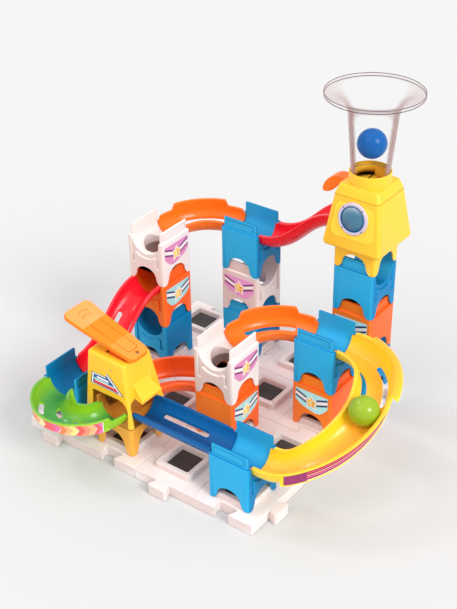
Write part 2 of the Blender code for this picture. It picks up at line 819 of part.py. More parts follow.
def make_funnel_house():
    foot = house_point()
    yellow = material("yellow_plastic", YELLOW)
    node(house_body(), "funnel_house", yellow, foot)
    node(funnel(), "funnel", material("clear_plastic", CLEAR, roughness=0.05), foot)
    node(release_gate(), "release_gate", material("amber_plastic", AMBER), foot)

    slope = math.atan2(FLARE_LOW_HALF - CREASE_HALF, CREASE - FLARE_LOW)
    face = FLARE_LOW_HALF - (PORTHOLE_Z - FLARE_LOW) * math.tan(slope)
    place = Matrix.Translation((0, -face, PORTHOLE_Z)) @ Matrix.Rotation(math.pi / 2 - slope, 4, "X")
    inner = LENS_RADIUS + GAP
    outer = PORTHOLE_RADIUS
    ring = turned(
        "ring_form", [(inner, GAP), (outer, GAP), (outer, 0.0015), (outer - 0.001, 0.0024), (inner, 0.0024)]
    )
    dome = arc((0, 0), 1.0, 0, 60, 2)
    dome = [(LENS_RADIUS * across, 0.001 + 0.003 * up) for across, up in dome]
    lens = turned("lens_form", [(0, GAP), (LENS_RADIUS, GAP), *dome, (0, 0.004)])
    node(placed(ring, place), "porthole_ring", material("lilac_plastic", LILAC), foot)
    node(placed(lens, place), "porthole_lens", material("teal_plastic", TEAL, roughness=0.1), foot)


# Launcher


def launcher_body():
    """A tapering hood over the marble's seat, open on three sides, with ribs for the two pins."""

    def hood(name, inset, low, high):
        def section(height):
            share = (height - BODY_LOW) / (BODY_TOP - BODY_LOW)
            low_x, high_x, low_y, high_y = (a + (b - a) * share for a, b in zip(BODY_FOOT, BODY_CROWN))
            return rounded_box(low_x + inset, high_x - inset, low_y + inset, high_y - inset, 0.003 - inset * 0.8)

        shell = loft(name, [(section(low), low), (section(high), high)])
        for vertex in shell.data.vertices:
            if vertex.co.z > BODY_TOP / 2:
                vertex.co.z += ROOF_SLOPE * (BODY_CROWN[1] - vertex.co.x)
        return shell

    body = hood("launcher_form", 0.0, BODY_LOW, BODY_TOP)
    cut(body, hood("hood_inside", BODY_WALL, BODY_LOW - 0.001, BODY_TOP - BODY_WALL))
    low_x, high_x, low_y, high_y = BODY_FOOT
    awning = loft(
        "awning",
        [
            ([(-0.0130, 0.0545), (0.0130, 0.0545), (0.0120, 0.0575), (-0.0120, 0.0575)], 0.0280),
            ([(-0.0105, 0.0560), (0.0105, 0.0560), (0.0090, 0.0690), (-0.0090, 0.0690)], 0.0140),
        ],
        "X",
    )
    join(body, awning)
    for middle, low, half in ((PIVOT_X, 0.0765, 0.0045), (KICKER_X, 0.0690, 0.0032)):
        high = BODY_TOP - BODY_WALL / 2 + ROOF_SLOPE * (BODY_CROWN[1] - middle)
        for sign in (-1, 1):
            near, far = sorted((sign * 0.0092, sign * 0.0112))
            rib = box_outline(middle - half, middle + half, low, high)
            join(body, prism("pin_rib", rib, near, far, "Y"))
    left = rounded_box(-0.0225, 0.0163, 0.010, 0.0540, 0.004, 3)
    back = [(-0.0175, 0.010), (0.0182, 0.010), (0.0182, 0.030)]
    back += [(0.0168, 0.046), (0.0120, 0.056), (-0.0120, 0.058)]
    back.append((-0.0175, 0.053))
    front = rounded_box(-0.0163, 0.0163, 0.010, 0.0540, 0.005, 3)
    opening = rounded_box(-0.0130, 0.0095, -0.0088, 0.0088, 0.001)
    cut(
        body,
        prism("way_in", left, 2 * low_y, -0.0100, "Y"),
        prism("back_way_in", back, 0.0100, 2 * high_y, "Y"),
        prism("way_out", front, 0.0080, 2 * high_x, "X"),
        prism("paddle_slot", opening, BODY_TOP - 0.004, BODY_TOP + 0.004),
        cylinder("pivot_hole", PIN_HOLE, -0.014, 0.014, "Y", (PIVOT_X, PIVOT_Z), 16),
        cylinder("kicker_hole", PIN_HOLE, -0.014, 0.014, "Y", (KICKER_X, KICKER_Z), 16),
    )
    return body


def launcher_frame():
    """The launcher's foot: a low arched table, with the marble's seat on it.

    The seat is a trough along Y with a way out to +X, and its -X wall has a gap for the hammer.
    """
    frame = prism("frame_form", rounded_square(BLOCK / 2, 0.0025), 0, FRAME_TOP - GAP)
    inside = prism("frame_inside", rounded_square(BLOCK / 2 - SKIRT_WALL, 0.0016), -0.001, CEILING)
    seat_outline = rounded_box(*SEAT_HALF_X, -SEAT_HALF_Y, SEAT_HALF_Y, 0.0008)
    seat = prism("seat_form", seat_outline, FRAME_TOP - 0.002, SEAT_TOP)
    join(frame, seat)
    along = prism("seat_channel", channel_outline(SEAT_TOP + 0.001), -BLOCK, BLOCK, "Y")
    way_out = prism("seat_way_out", channel_outline(SEAT_TOP + 0.001), 0.0, BLOCK, "X")
    gap_half = KICKER_HALF + 2 * GAP
    gap_outline = box_outline(-BLOCK, -0.0090, -gap_half, gap_half)
    hammer_gap = prism("hammer_gap", gap_outline, 0.0335, SEAT_TOP + 0.001)
    return cut(frame, inside, *arches(FRAME_ARCH), along, way_out, hammer_gap)


def paddle_form():
    """The long lever. Its own origin is on its hinge, so the node turns about it."""
    tail_corner = (PADDLE_TAIL - 0.005, PADDLE_TAIL_HALF - 0.005)
    reach_corner = (-PADDLE_REACH + 0.006, PADDLE_REACH_HALF - 0.006)
    upper = arc(reach_corner, 0.006, 180, 90, 3) + arc(tail_corner, 0.005, 90, 0, 3)
    outline = upper + [(x, -y) for x, y in upper[::-1]]
    paddle = prism("paddle_form", outline, -PADDLE_THICKNESS, 0)
    placed(paddle, Matrix.Translation((0, 0, PADDLE_RISE)) @ Matrix.Rotation(PADDLE_TILT, 4, "Y"))
    lug = prism("paddle_lug", rounded_box(-0.0045, 0.0045, -0.0035, 0.0120, 0.002), -0.0050, 0.0050, "Y")
    web = rounded_box(-0.0135, 0.0040, 0.0030, 0.0135, 0.001)
    join(lug, prism("paddle_web", web, -0.0080, 0.0040, "Y"))
    join(paddle, lug)
    return cut(paddle, cylinder("lug_hole", PIN_HOLE, -0.006, 0.006, "Y", (0, 0), 16))


def kicker_form():
    """The hammer behind the marble, hanging from its pin."""
    arm_outline = rounded_box(-0.0020, 0.0020, -KICKER_LENGTH, 0.0028, 0.0018)
    arm = prism("kicker_form", arm_outline, -KICKER_HALF, KICKER_HALF, "Y")
    head_outline = rounded_box(-0.0025, 0.0034, -KICKER_LENGTH, -KICKER_LENGTH + 0.012, 0.0015)
    head = prism("kicker_head", head_outline, -0.0060, 0.0060, "Y")
    join(arm, head, cylinder("kicker_boss", 0.0030, -0.0080, 0.0080, "Y", (0, 0), 16))
    return cut(arm, cylinder("kicker_bore", PIN_HOLE, -0.010, 0.010, "Y", (0, 0), 16))


def torsion_spring():
    """A wire coil round the paddle's pin, beside its lug."""
    turns, per_turn, radius, wire, pitch = 3, 10, 0.0026, 0.0004, 0.0010
    count = turns * per_turn + 1
    curve = bpy.data.curves.new("spring_wire", "CURVE")
    curve.dimensions = "3D"
    curve.bevel_depth = wire
    curve.bevel_resolution = 1
    curve.use_fill_caps = True
    spline = curve.splines.new("POLY")
    spline.points.add(count - 1)
    for k, point in enumerate(spline.points):
        angle = 2 * math.pi * k / per_turn
        point.co = (radius * math.cos(angle), 0.0056 + pitch * k / per_turn, radius * math.sin(angle), 1)
    obj = bpy.data.objects.new("spring_wire", curve)
    obj.hide_render = True
    CUTTERS.objects.link(obj)
    return obj


def make_launcher():
    seat = grid_point(0, 0)
    pivot = seat + Vector((PIVOT_X, 0, PIVOT_Z))
    kicker = seat + Vector((KICKER_X, 0, KICKER_Z))
    pin = cylinder("pin_form", PIN_RADIUS, -0.0110, 0.0110, "Y", (0, 0), 16)
    steel = material("steel", STEEL, roughness=0.25, metallic=1.0)
    standing = seat + Vector((0, 0, GAP))
    node(launcher_frame(), "launcher_frame", material("warm_yellow_plastic", WARM_YELLOW), standing)
    node(launcher_body(), "launcher_body", material("yellow_plastic", YELLOW), seat)
    node(paddle_form(), "launch_paddle", material("amber_plastic", AMBER), pivot)
    node(kicker_form(), "kicker", material("brown_plastic", BROWN), kicker)
    node(pin, "paddle_pin", steel, pivot)
    node(pin, "kicker_pin", steel, kicker)
    node(torsion_spring(), "return_spring", steel, pivot)


# Marbles


def make_marbles():
    def marble(name, colour, place):
        bm = bmesh.new()
        bmesh.ops.create_uvsphere(bm, u_segments=16, v_segments=8, radius=MARBLE_RADIUS)
        node(object_from(f"{name}_form", bm), name, material(name, colour, roughness=0.08), place)

    column, row, _ = HOUSE_PLACE
    marble("blue_marble", MARBLE_BLUE, grid_point(column, row, 0.2400))
    length, at = long_bend()
    place, _ = at(length * 0.51)
    slope = (at(length * 0.52)[0] - at(length * 0.50)[0]).normalized()
    place.z += MARBLE_RADIUS / math.hypot(slope.x, slope.y) + GAP - TRACK_INNER
    marble("green_marble", MARBLE_GREEN, place)


clear_scene()
PARTS = new_collection("marble_run")
CUTTERS = new_collection("cutters", hidden=True)
make_base()
make_blocks()
make_tracks()
make_funnel_house()
make_launcher()
make_marbles()
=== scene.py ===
"""The looks of the marble run: finely moulded pieces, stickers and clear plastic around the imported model."""

import json
import math

import bmesh
import bpy
from mathutils import Matrix, Quaternion, Vector

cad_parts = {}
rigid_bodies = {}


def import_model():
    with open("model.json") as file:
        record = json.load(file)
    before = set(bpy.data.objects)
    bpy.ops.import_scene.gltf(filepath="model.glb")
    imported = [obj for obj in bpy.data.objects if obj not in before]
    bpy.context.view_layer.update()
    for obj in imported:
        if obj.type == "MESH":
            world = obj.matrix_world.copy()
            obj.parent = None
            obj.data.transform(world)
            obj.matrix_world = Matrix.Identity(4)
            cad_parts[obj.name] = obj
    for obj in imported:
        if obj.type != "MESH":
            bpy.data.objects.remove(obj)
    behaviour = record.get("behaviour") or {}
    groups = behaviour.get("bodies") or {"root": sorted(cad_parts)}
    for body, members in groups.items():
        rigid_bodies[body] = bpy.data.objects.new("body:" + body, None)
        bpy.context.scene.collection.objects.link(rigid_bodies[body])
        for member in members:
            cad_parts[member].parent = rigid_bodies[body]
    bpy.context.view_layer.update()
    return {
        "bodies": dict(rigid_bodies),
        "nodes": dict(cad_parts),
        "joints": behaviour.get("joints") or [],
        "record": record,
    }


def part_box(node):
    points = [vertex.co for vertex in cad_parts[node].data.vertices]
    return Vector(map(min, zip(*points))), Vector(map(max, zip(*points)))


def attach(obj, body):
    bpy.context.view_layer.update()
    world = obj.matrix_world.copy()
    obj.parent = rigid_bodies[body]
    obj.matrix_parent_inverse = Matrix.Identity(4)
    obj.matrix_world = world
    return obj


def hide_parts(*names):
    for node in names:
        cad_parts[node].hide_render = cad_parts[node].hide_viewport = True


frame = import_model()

ROOT = "run"


def cos(degrees):
    return math.cos(math.radians(degrees))


def sin(degrees):
    return math.sin(math.radians(degrees))


def spaced(start, end, steps):
    """Even steps from start to end, with both of them."""
    return [start + (end - start) * k / steps for k in range(steps + 1)]


def between(value, start, end):
    """How far a value has come from start to end, kept within 0 and 1."""
    return min(max((value - start) / (end - start), 0.0), 1.0)


def shift(x, y, z):
    return Matrix.Translation((x, y, z))


def quarter_turn(count):
    return Matrix.Rotation(count * math.pi / 2, 4, "Z")


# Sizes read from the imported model, in metres


def foot(node):
    """The middle of a node's box, at its lowest height."""
    low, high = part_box(node)
    return Vector(((low.x + high.x) / 2, (low.y + high.y) / 2, low.z))


LEFT_LOW, LEFT_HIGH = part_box("end_block_left")
GAP = 0.0003
BLOCK = LEFT_HIGH.x - LEFT_LOW.x
PITCH = (foot("end_block_front").x - foot("end_block_left").x) / 3
LEVEL = foot("tower_a_block_2").z - foot("tower_a_block_1").z
BASE_TOP = LEFT_LOW.z - GAP
BLOCK_TOP = LEFT_HIGH.z - LEFT_LOW.z
TILE = 2 * PITCH
HOUSE_FOOT = foot("tower_e_block_3") + Vector((0, 0, LEVEL))

# Blocks
BAND_INSET = 0.0019
CHANNEL_RADIUS = 0.016
CHANNEL_CENTRE = 0.044
SKIRT_WALL = 0.0016
CEILING = 0.025
ARCH_HEIGHT = 0.015
END_RECESS = 0.0014
END_RECESS_HALF = 0.0155
DROP_RADIUS = 0.0134

# Base tiles
SOCKET = 0.036
SOCKET_HEIGHT = 0.0055
SOCKET_MOUTH_HALF = 0.0134
WELL_HALF = 0.0118
PAD_DEPTH = 0.0034
PAD_THICKNESS = 0.003
TAB_REACH = 0.009
TAB_NECK = 0.0062
TAB_HEAD = 0.0094
SCORE = 0.0005

# Tracks
WALL = 0.0018
TRACK_OUTER = CHANNEL_RADIUS - GAP
TRACK_INNER = TRACK_OUTER - WALL
TRACK_TUCK = 0.003
TUCK_ANGLE = 83.0
GROOVE_DEPTH = 0.0004
SKIRT_TURN = 67.5
FLANGE_REACH = 0.022
FLANGE_RISE = 0.0036
GREEN_SLOTS = ((0.0082, 0.18, 0.28), (-0.006, 0.27, 0.38), (-0.006, 0.6, 0.71))
GREEN_GUARD = (
    (0.0, 0.0004),
    (0.05, 0.0012),
    (0.12, 0.0026),
    (0.35, 0.0014),
    (0.45, 0.0018),
    (0.6, 0.0028),
    (0.7, 0.0038),
    (0.87, 0.0047),
    (0.9, 0.0006),
    (1.0, 0.0004),
)
SLOT_OFFSET = 0.0085
SLOT_HALF = 0.0021

# Funnel house, heights above its own foot
FLARE_LOW_HALF = 0.028
FLARE_LOW = 0.022
CREASE_HALF = 0.0215
CREASE = 0.068
ROOF_HALF = 0.0185
ROOF = 0.077
COLLAR_RADIUS = 0.0178
COLLAR_TOP = 0.087
BORE_RADIUS = 0.0142
FUNNEL_FOOT = 0.0162
FUNNEL_SEAT = 0.0169
FUNNEL_WAIST = 0.0205
FUNNEL_RIM = 0.0406
FUNNEL_WALL = 0.0014
FUNNEL_LOW = 0.0843
FUNNEL_WAIST_Z = 0.132
FUNNEL_TOP = 0.1531
FUNNEL_LIP = 0.0012
PORTHOLE_RADIUS = 0.014
LENS_RADIUS = 0.0107
PORTHOLE_Z = 0.0515
GATE_LOW = 0.0726
GATE_TOP = 0.075
GATE_HALF = 0.0134
HANDLE_HALF = 0.006

# Launcher, heights above the base's top
FRAME_TOP = 0.028
FRAME_ARCH = 0.02
BODY_LOW = 0.029
BODY_TOP = 0.088
BODY_WALL = 0.002
BODY_FOOT = (-0.031, 0.021, -0.0205, 0.027)
BODY_CROWN = (-0.027, 0.013, -0.0165, 0.0177)
ROOF_SLOPE = 0.06
SEAT_HALF_X = (-0.0176, 0.0158)
SEAT_HALF_Y = 0.0196
SEAT_TOP = 0.049
KICKER_HALF = 0.0088
PIN_RADIUS = 0.0012
PIN_HOLE = 0.0015
PIVOT_X, PIVOT_Z = 0.004, 0.082
PADDLE_TILT = math.radians(16.3)
PADDLE_REACH = 0.0595
PADDLE_TAIL = 0.0155
PADDLE_TAIL_HALF = 0.0116
PADDLE_REACH_HALF = 0.0158
PADDLE_BENDS = ((-0.009, 0.02), (-0.0365, -0.06))
PADDLE_RISE = 0.0157
SCREW_X = 0.0106
KICKER_X, KICKER_Z = -0.016, 0.072
KICKER_LENGTH = 0.036

MARBLE_RADIUS = 0.0125
EDGE = 0.00045
BEVEL_ANGLE = 34
EVEN_ANGLE = 50
FOLD_ANGLE = 2.2
STICKER_LIFT = 0.00012
ROUND_STEPS = 64
CORNER_STEPS = 6


# Camera, light and floor

CAMERA_PLACE = Vector((0.5495, -0.5868, 0.6463))
CAMERA_AZIMUTH = 36.96
CAMERA_ELEVATION = 32.16
CAMERA_ROLL = -0.87
CAMERA_LENS = 69.49
FLOOR_SIZE = 30.0
FLOOR_HEIGHT = -0.0002
FLOOR_COLOUR = (0.616, 0.637, 0.647, 1)
SKY_COLOUR = (1.0, 0.985, 0.985, 1)
SKY_STRENGTH = 0.8

# Each sun's name, the direction it shines from, its strength, its width in degrees and its colour
SUNS = (
    ("key", (0.85, -0.15, 0.62), 1.9, 24, (1.0, 0.99, 0.97)),
    ("fill", (-0.2, -0.62, 0.72), 0.75, 40, (1.0, 0.78, 0.72)),
    ("top", (0.05, 0.1, 1.0), 0.31, 60, (1.0, 1.0, 1.0)),
    ("sparkle", (-0.61, -0.07, 0.79), 0.3, 8, (1.0, 1.0, 1.0)),
)


def new_object(name, data, collection=None):
    obj = bpy.data.objects.new(name, data)
    (collection or bpy.context.scene.collection).objects.link(obj)
    return obj


def new_mesh(name, bm):
    """A mesh made from a bmesh, which is freed."""
    mesh = bpy.data.meshes.new(name)
    bm.to_mesh(mesh)
    bm.free()
    return mesh


def aim(obj, towards, roll=0.0):
    """Turns a camera or a light to look along a direction, rolled by an angle in degrees."""
    rolled = Quaternion((0, 0, 1), math.radians(roll))
    obj.rotation_mode = "QUATERNION"
    obj.rotation_quaternion = Vector(towards).to_track_quat("-Z", "Y") @ rolled


def make_camera():
    data = bpy.data.cameras.new("camera")
    data.sensor_width = 36.0
    data.lens = CAMERA_LENS
    data.clip_start, data.clip_end = 0.05, 100.0
    camera = new_object("camera", data)
    flat = cos(CAMERA_ELEVATION)
    forward = (-sin(CAMERA_AZIMUTH) * flat, cos(CAMERA_AZIMUTH) * flat, -sin(CAMERA_ELEVATION))
    aim(camera, forward, CAMERA_ROLL)
    camera.location = CAMERA_PLACE
    bpy.context.scene.camera = camera


def make_stage():
    bpy.context.scene.view_settings.view_transform = "Standard"
    world = bpy.data.worlds.new("studio")
    world.use_nodes = True
    background = world.node_tree.nodes["Background"]
    background.inputs["Color"].default_value = SKY_COLOUR
    background.inputs["Strength"].default_value = SKY_STRENGTH
    bpy.context.scene.world = world
    for name, source, strength, spread, colour in SUNS:
        data = bpy.data.lights.new(name, "SUN")
        data.color, data.energy, data.angle = colour, strength, math.radians(spread)
        aim(new_object(name, data), -Vector(source))
    bm = bmesh.new()
    bmesh.ops.create_grid(bm, x_segments=1, y_segments=1, size=FLOOR_SIZE / 2)
    floor = new_object("floor", new_mesh("floor", bm))
    floor.location.z = FLOOR_HEIGHT
    matt = {"Base Color": FLOOR_COLOUR, "Roughness": 0.9, "Specular IOR Level": 0.0}
    floor.data.materials.append(Nodes("floor").shaded(matt))


# Materials


class Nodes:
    """A new material, with short names for adding nodes to it.

    An input is set to a value, or linked to another node's output.
    """

    def __init__(self, name):
        self.material = bpy.data.materials.new(name)
        self.material.use_nodes = True
        self.tree = self.material.node_tree
        self.place = self.add("TexCoord", {})["Object"]

    def feed(self, node, inputs):
        for name, value in inputs.items():
            if isinstance(value, bpy.types.NodeSocket):
                self.tree.links.new(value, node.inputs[name])
            else:
                node.inputs[name].default_value = value

    def add(self, kind, inputs, **settings):
        """The outputs of a new node."""
        node = self.tree.nodes.new(f"ShaderNode{kind}")
        for name, value in settings.items():
            setattr(node, name, value)
        self.feed(node, inputs)
        return node.outputs

    def shaded(self, inputs):
        """The material, with these inputs of its surface set."""
        self.feed(self.tree.nodes["Principled BSDF"], inputs)
        return self.material

    def noise(self, scale, detail=2.0, distortion=0.0):
        inputs = {"Vector": self.place, "Scale": scale, "Detail": detail, "Distortion": distortion}
        return self.add("TexNoise", inputs)["Fac"]

    def spread(self, value, low, high, start=0.0, end=1.0):
        """The value's range from start to end, spread from low to high."""
        inputs = {"Value": value, "From Min": start, "From Max": end, "To Min": low, "To Max": high}
        return self.add("MapRange", inputs)["Result"]

    def edges(self):
        """0 on flat stretches, 1 on raised edges."""
        return self.spread(self.add("NewGeometry", {})["Pointiness"], 0.0, 1.0, 0.54, 0.66)

    def facing(self, axis):
        """0 to 1 as a surface turns towards an axis."""
        inputs = {0: self.add("NewGeometry", {})["Normal"], 1: axis}
        cosine = self.add("VectorMath", inputs, operation="DOT_PRODUCT")["Value"]
        return self.spread(cosine, 0.0, 1.0, 0.25, 0.95)

    def mix(self, share, first, second):
        """A colour mix. Each side is a colour or another node's output."""
        sides = [side if isinstance(side, bpy.types.NodeSocket) else (*side, 1.0) for side in (first, second)]
        return self.add("Mix", {"Factor": share, "A": sides[0], "B": sides[1]}, data_type="RGBA")["Result"]

    def uneven(self, scale, detail, low, high):
        return self.spread(self.noise(scale, detail), low, high)

    def bump(self, scale, detail, strength, distance, below=None):
        inputs = {"Height": self.noise(scale, detail), "Strength": strength, "Distance": distance}
        return self.add("Bump", {**inputs, "Normal": below} if below else inputs)["Normal"]


def tint(colour, share, towards):
    return tuple(a + (b - a) * share for a, b in zip(colour, (towards,) * 3))


def plastic(
    name, colour, roughness=0.3, grain=0.08, coat=0.1, edge=None, wear_and_highlight=0.1, shine=0.3, painted_light_facing=None
):
    """Moulded plastic: a slightly cloudy colour, a fine skin texture, uneven gloss and paler raised edges.

    The paler raised edges are partly wear and partly a painted highlight. edge is a colour for the raised
    edges. A facing axis and colour paint that colour on surfaces that face along the axis, as painted light or
    shade.
    """
    nodes = Nodes(name)
    clouds = nodes.noise(14.0, 2.0, 0.4)

    def cloudy(plain):
        return nodes.mix(clouds, tint(plain, 0.035, 0.0), tint(plain, 0.012, 1.0))

    body = cloudy(colour)
    # Surfaces that face the axis get the second colour: painted light or shade standing in for the lamps.
    if painted_light_facing:
        axis, second = painted_light_facing
        body = nodes.mix(nodes.facing(axis), body, cloudy(second))
    waves = nodes.bump(70.0, 1.0, 0.1, 0.00012)
    return nodes.shaded({
        # Raised edges turn paler: partly wear, partly a painted highlight along the rims.
        "Base Color": nodes.mix(nodes.edges(), body, edge or tint(colour, wear_and_highlight, 1.0)),
        "Roughness": nodes.spread(nodes.noise(120.0, 3.0), roughness - 0.04, roughness + 0.07, 0.3, 0.7),
        "Normal": nodes.bump(2200.0, 2.0, grain, 0.00002, waves),
        "Specular IOR Level": shine,
        "Coat Weight": coat,
        "Coat Roughness": 0.1,
    })


def print_ink(name, colour, front=None):
    """A sticker's ink colour under a clear film. front is a second, lighter colour for stickers that face -Y:
    painted light.
    """
    nodes = Nodes(name)
    ink_with_painted_light = nodes.mix(nodes.facing(FRONT), colour, front or colour)
    return nodes.shaded({
        "Base Color": nodes.mix(nodes.uneven(420.0, 3.0, 0.0, 0.06), ink_with_painted_light, (1.0, 1.0, 1.0)),
        "Roughness": nodes.uneven(300.0, 2.0, 0.24, 0.36),
        "Normal": nodes.bump(90.0, 2.0, 0.2, 0.00008),
        "Specular IOR Level": 0.3,
    })


def rubber(name, colour):
    nodes = Nodes(name)
    return nodes.shaded({
        "Base Color": nodes.mix(nodes.noise(90.0, 5.0), colour, tint(colour, 0.06, 1.0)),
        "Roughness": nodes.uneven(500.0, 3.0, 0.5, 0.75),
        "Normal": nodes.bump(1500.0, 3.0, 0.4, 0.0001),
    })


def steel(name, colour):
    """Drawn wire and pins, with a fine uneven polish."""
    nodes = Nodes(name)
    return nodes.shaded({
        "Metallic": 1.0,
        "Base Color": nodes.mix(nodes.noise(600.0, 4.0), tint(colour, 0.15, 0.0), colour),
        "Roughness": nodes.uneven(2500.0, 2.0, 0.18, 0.36),
        "Normal": nodes.bump(3000.0, 2.0, 0.2, 0.00002),
    })


def clear_plastic(name, colour):
    """Thin clear plastic: see-through face on, warm grey towards a tube's edges, fainter on the flare above."""
    nodes = Nodes(name)
    facing = nodes.add("LayerWeight", {"Blend": 0.5})["Facing"]
    height = nodes.add("SeparateXYZ", {0: nodes.place})["Z"]
    grazing = nodes.spread(facing, 0.006, 0.78, 0.4, 0.66)
    fading = nodes.spread(height, 1.0, 0.3, FUNNEL_WAIST_Z, FUNNEL_TOP)
    return nodes.shaded({
        "Alpha": nodes.add("Math", {0: grazing, 1: fading}, operation="MULTIPLY")["Value"],
        "Base Color": nodes.mix(nodes.noise(40.0, 2.0), colour, tint(colour, 0.15, 1.0)),
        "Roughness": nodes.uneven(120.0, 2.0, 0.03, 0.09),
        "Normal": nodes.bump(60.0, 2.0, 0.15, 0.0002),
    })


FRONT = (0.0, -1.0, 0.0)
UPWARD = (0.0, 0.0, 1.0)

# Faces turned to -Y get a darker pinkish copy of the white: painted shade.
WHITE = plastic(
    "white_abs", (0.88, 0.815, 0.8), roughness=0.36, wear_and_highlight=0.3,
    painted_light_facing=(FRONT, (0.8, 0.675, 0.65)),
)
# Faces turned to -Y get a lighter blue copy: painted sheen. The paler cyan edge colour is a painted rim
# highlight.
BLUE = plastic(
    "blue_abs", (0.0, 0.205, 0.48), coat=0.02, shine=0.08, edge=(0.002, 0.32, 0.68),
    painted_light_facing=((0.0, -1.0, 0.2), (0.03, 0.455, 0.83)),
)
# Faces turned to -Y get a lighter copy: painted light. The paler edge colour is a painted rim highlight.
DEEP_BLUE = plastic(
    "deep_blue_abs", (0.0, 0.06, 0.215), coat=0.02, shine=0.08, edge=(0.002, 0.15, 0.44),
    painted_light_facing=(FRONT, (0.0, 0.135, 0.42)),
)
# Faces turned to -Y get a yellower, brighter copy: painted light.
ORANGE = plastic(
    "orange_abs", (1.0, 0.125, 0.004), shine=0.14,
    painted_light_facing=(FRONT, (1.0, 0.235, 0.012)),
)
TRACK_ORANGE = plastic("orange_track_abs", (1.0, 0.18, 0.005), roughness=0.24)
RED_ORANGE = plastic("red_orange_abs", (1.0, 0.125, 0.008))
AMBER = plastic("amber_abs", (1.0, 0.235, 0.002), shine=0.18)
# Paler copies of the amber for the paddle's end facets: painted glare and sheen.
PAD_PAINTED_GLARE = plastic("amber_pad_painted_glare", (1.0, 0.35, 0.085), roughness=0.4, shine=0.18)
TAIL_PAINTED_SHEEN = plastic("amber_tail_painted_sheen", (1.0, 0.3, 0.035), roughness=0.34, shine=0.18)
GATE_ORANGE = plastic("gate_orange_abs", (1.0, 0.2, 0.006), shine=0.18)
YELLOW = plastic("yellow_abs", (1.0, 0.59, 0.028), edge=(1.0, 0.76, 0.12))
# Faces turned upward, the trough's floor, get an orange copy: painted shade.
TRACK_YELLOW = plastic(
    "yellow_track_abs", (1.0, 0.7, 0.016), roughness=0.26, edge=(1.0, 0.86, 0.05),
    painted_light_facing=(UPWARD, (1.0, 0.46, 0.022)),
)
WARM_YELLOW = plastic("warm_yellow_abs", (0.96, 0.44, 0.035))
# A darker brown copy of the warm yellow for the seat inside the launcher: painted shade.
SEAT_PAINTED_SHADE = plastic("seat_painted_shade_abs", (0.6, 0.23, 0.02), shine=0.2)
PANEL_YELLOW = plastic("panel_yellow_abs", (1.0, 0.7, 0.04), roughness=0.24)
# Faces turned upward, the trough's floor, get a dark green copy: painted shade. The lime edge colour is a
# painted rim highlight.
GREEN = plastic(
    "green_abs", (0.27, 0.6, 0.01), roughness=0.22, edge=(0.46, 0.8, 0.04),
    painted_light_facing=(UPWARD, (0.05, 0.32, 0.05)),
)
RED = plastic("red_abs", (0.92, 0.004, 0.02), roughness=0.24, shine=0.24)
LILAC = plastic("lilac_abs", (0.62, 0.56, 0.68))
# The dome's upper faces get a pale grey-blue copy: a painted highlight.
TEAL = plastic(
    "teal_dome", (0.035, 0.165, 0.29), roughness=0.1, grain=0.03, coat=0.8,
    painted_light_facing=((-0.2, 0.0, 0.98), (0.5, 0.62, 0.68)),
)
# A near-black for the screw recesses and the pinhole: painted shade in the holes.
HOLE_SHADE_DARK = plastic("screw_recess_painted_shade", (0.09, 0.06, 0.09))
BROWN = plastic("brown_abs", (0.23, 0.09, 0.025))
BLACK = rubber("socket_rubber", (0.015, 0.01, 0.008))
STEEL = steel("steel_wire", (0.6, 0.6, 0.62))
CLEAR = clear_plastic("clear_styrene", (0.38, 0.22, 0.2))
RIM_TINT = plastic("funnel_rim_edge", (0.085, 0.035, 0.045), roughness=0.15)
BLUE_BALL = plastic("blue_marble_gloss", (0.0, 0.115, 0.41), roughness=0.2, grain=0.02, shine=0.1)
GREEN_BALL = plastic("green_marble_gloss", (0.275, 0.435, 0.008), roughness=0.22, grain=0.02, coat=0.25)

# The second colours are lighter copies for stickers that face -Y: painted light.
INK_LILAC = print_ink("ink_lilac", (0.7, 0.26, 0.5), (0.84, 0.38, 0.74))
INK_PURPLE = print_ink("ink_purple", (0.22, 0.01, 0.19))
INK_SKY = print_ink("ink_sky", (0.41, 0.71, 0.72), (0.47, 0.96, 1.0))
INK_NAVY = print_ink("ink_navy", (0.006, 0.04, 0.17))
INK_WHITE = print_ink("ink_white", (0.9, 0.9, 0.9), (1.0, 1.0, 1.0))
INK_YELLOW = print_ink("ink_yellow", (1.0, 0.6, 0.06))
INK_GOLD = print_ink("ink_gold", (0.9, 0.36, 0.02))
INK_CREAM = print_ink("ink_cream", (1.0, 0.86, 0.4))
INK_BLUE = print_ink("ink_blue", (0.02, 0.11, 0.34))
INK_RED = print_ink("ink_red", (0.8, 0.03, 0.05))
INK_PINK = print_ink("ink_pink", (0.95, 0.15, 0.36))
INK_ORANGE = print_ink("ink_orange", (0.95, 0.21, 0.06))
INK_PLUM = print_ink("ink_plum", (0.3, 0.01, 0.125))
INK_CORAL = print_ink("ink_coral", (0.95, 0.09, 0.07))
INK_ROSE = print_ink("ink_rose", (0.95, 0.11, 0.16))
INK_SALMON = print_ink("ink_salmon", (0.95, 0.26, 0.14))
INK_PEACH = print_ink("ink_peach", (0.95, 0.45, 0.19))
INK_STRAW = print_ink("ink_straw", (0.98, 0.74, 0.22))


# Mesh helpers


def new_collection(name):
    collection = bpy.data.collections.new(name)
    bpy.context.scene.collection.children.link(collection)
    return collection


WORKSHOP = new_collection("workshop")
PIECES = new_collection("marble_run")


def workpiece(name, bm):
    """An object in the workshop, to be cut, joined and copied from. The workshop is emptied at the end."""
    bmesh.ops.recalc_face_normals(bm, faces=bm.faces)
    obj = new_object(name, new_mesh(name, bm), WORKSHOP)
    obj.hide_render = True
    return obj


def boolean(obj, operation, others):
    for other in others:
        modifier = obj.modifiers.new(operation.title(), "BOOLEAN")
        modifier.operation = operation
        modifier.object = other
        modifier.solver = "EXACT"
    return obj


def cut(obj, *cutters):
    return boolean(obj, "DIFFERENCE", cutters)


def join(obj, *others):
    return boolean(obj, "UNION", others)


